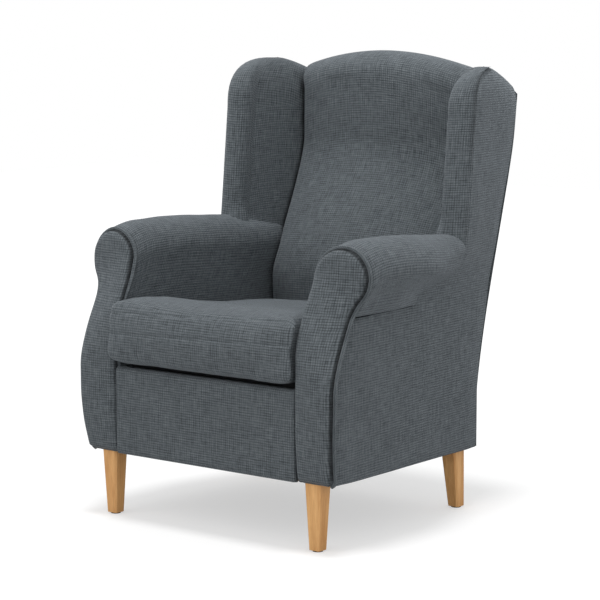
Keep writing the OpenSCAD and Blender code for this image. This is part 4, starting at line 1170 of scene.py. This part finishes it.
def dress(obj, nodes, body="chair"):
    """Gives a cover its cloth and its place in the frame."""
    settle(obj)
    obj.data.materials.clear()
    obj.data.materials.append(fabric)
    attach(obj, body)
    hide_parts(*nodes)


def both(make, right_nodes, left_name):
    """Makes a cover and its mirror image for the other side."""
    right = make()
    left = mirrored(right, left_name)
    dress(right, right_nodes)
    dress(left, [n.replace("right_", "left_") for n in right_nodes])


dress(make_back(), ["back_pad"])
both(make_wing, ["right_wing_pad"], "left_wing")
both(make_arm, ["right_arm_roll", "right_inside_arm"], "left_arm_cover")
both(make_facing, ["right_arm_facing"], "left_arm_front")
both(make_facing_welt, ["right_facing_welt"], "left_arm_welt")
both(make_side, ["right_outside_arm", "right_outside_wing"], "left_outside_cover")
dress(make_border(), ["front_border"])
dress(make_outside_back(), ["outside_back"])
dress(make_back_welt(), ["back_welt"])
dress(make_cushion(), ["cushion_cover", "cushion_foam"], body="seat_cushion")

# Floor, light and camera
def make_floor():
    half, glow = 8, 0.52
    corners = [(-half, -half, 0), (half, -half, 0), (half, half, 0), (-half, half, 0)]
    mesh = bpy.data.meshes.new("floor")
    mesh.from_pydata(corners, [], [(0, 1, 2, 3)])
    floor = bpy.data.objects.new("floor", mesh)
    scene.collection.objects.link(floor)
    mat, g, bsdf = new_material("pale_floor")
    bsdf.inputs["Base Color"].default_value = (0.50, 0.50, 0.50, 1)
    bsdf.inputs["Roughness"].default_value = 1.0
    bsdf.inputs["Specular IOR Level"].default_value = 0.0
    g.put(bsdf.inputs["Emission Strength"], g.math("MULTIPLY", g.rays()["Is Camera Ray"], glow))
    bsdf.inputs["Emission Color"].default_value = (1, 1, 1, 1)
    mesh.materials.append(mat)


def make_world():
    """White all round, and brighter where it is seen or mirrored than where it lights the chair."""
    lighting, seen_extra = 0.58, 0.42
    world = bpy.data.worlds.new("studio")
    scene.world = world
    world.use_nodes = True
    tree = world.node_tree
    tree.nodes.clear()
    out = tree.nodes.new("ShaderNodeOutputWorld")
    back = tree.nodes.new("ShaderNodeBackground")
    g = Graph(tree)
    rays = g.rays()
    mirrored_ray = g.math("MAXIMUM", rays["Is Glossy Ray"], rays["Is Transmission Ray"])
    seen = g.math("MAXIMUM", rays["Is Camera Ray"], mirrored_ray)
    g.put(back.inputs["Strength"], g.math("MULTIPLY_ADD", seen, seen_extra, lighting))
    back.inputs["Color"].default_value = (1, 1, 1, 1)
    tree.links.new(back.outputs[0], out.inputs[0])


def lamp(name, power, towards, angle):
    """A sun that shines from the side that towards points to."""
    light = bpy.data.lights.new(name, "SUN")
    light.energy = power
    light.angle = math.radians(angle)
    obj = bpy.data.objects.new(name, light)
    scene.collection.objects.link(obj)
    obj.rotation_euler = (-Vector(towards)).to_track_quat("-Z", "Y").to_euler()


def make_camera():
    target = Vector((0.004, -0.0392, 0.475))
    cam = bpy.data.cameras.new("camera")
    cam.sensor_width = 36
    cam.lens = 133.7
    cam.clip_end = 60
    camera = bpy.data.objects.new("camera", cam)
    scene.collection.objects.link(camera)
    camera.location = (3.086, -3.9222, 1.126)
    camera.rotation_euler = (target - camera.location).to_track_quat("-Z", "Y").to_euler()
    scene.camera = camera


make_floor()
make_world()
lamp("overhead", 1.42, (0.02, -0.05, 1.0), 10)
lamp("behind", 0.20, (0.05, 0.75, 0.90), 50)
lamp("front", 0.46, (-0.25, -0.80, 0.60), 50)
lamp("side", 0.42, (0.80, -0.60, 0.35), 55)
make_camera()
scene.view_settings.view_transform = "Standard"
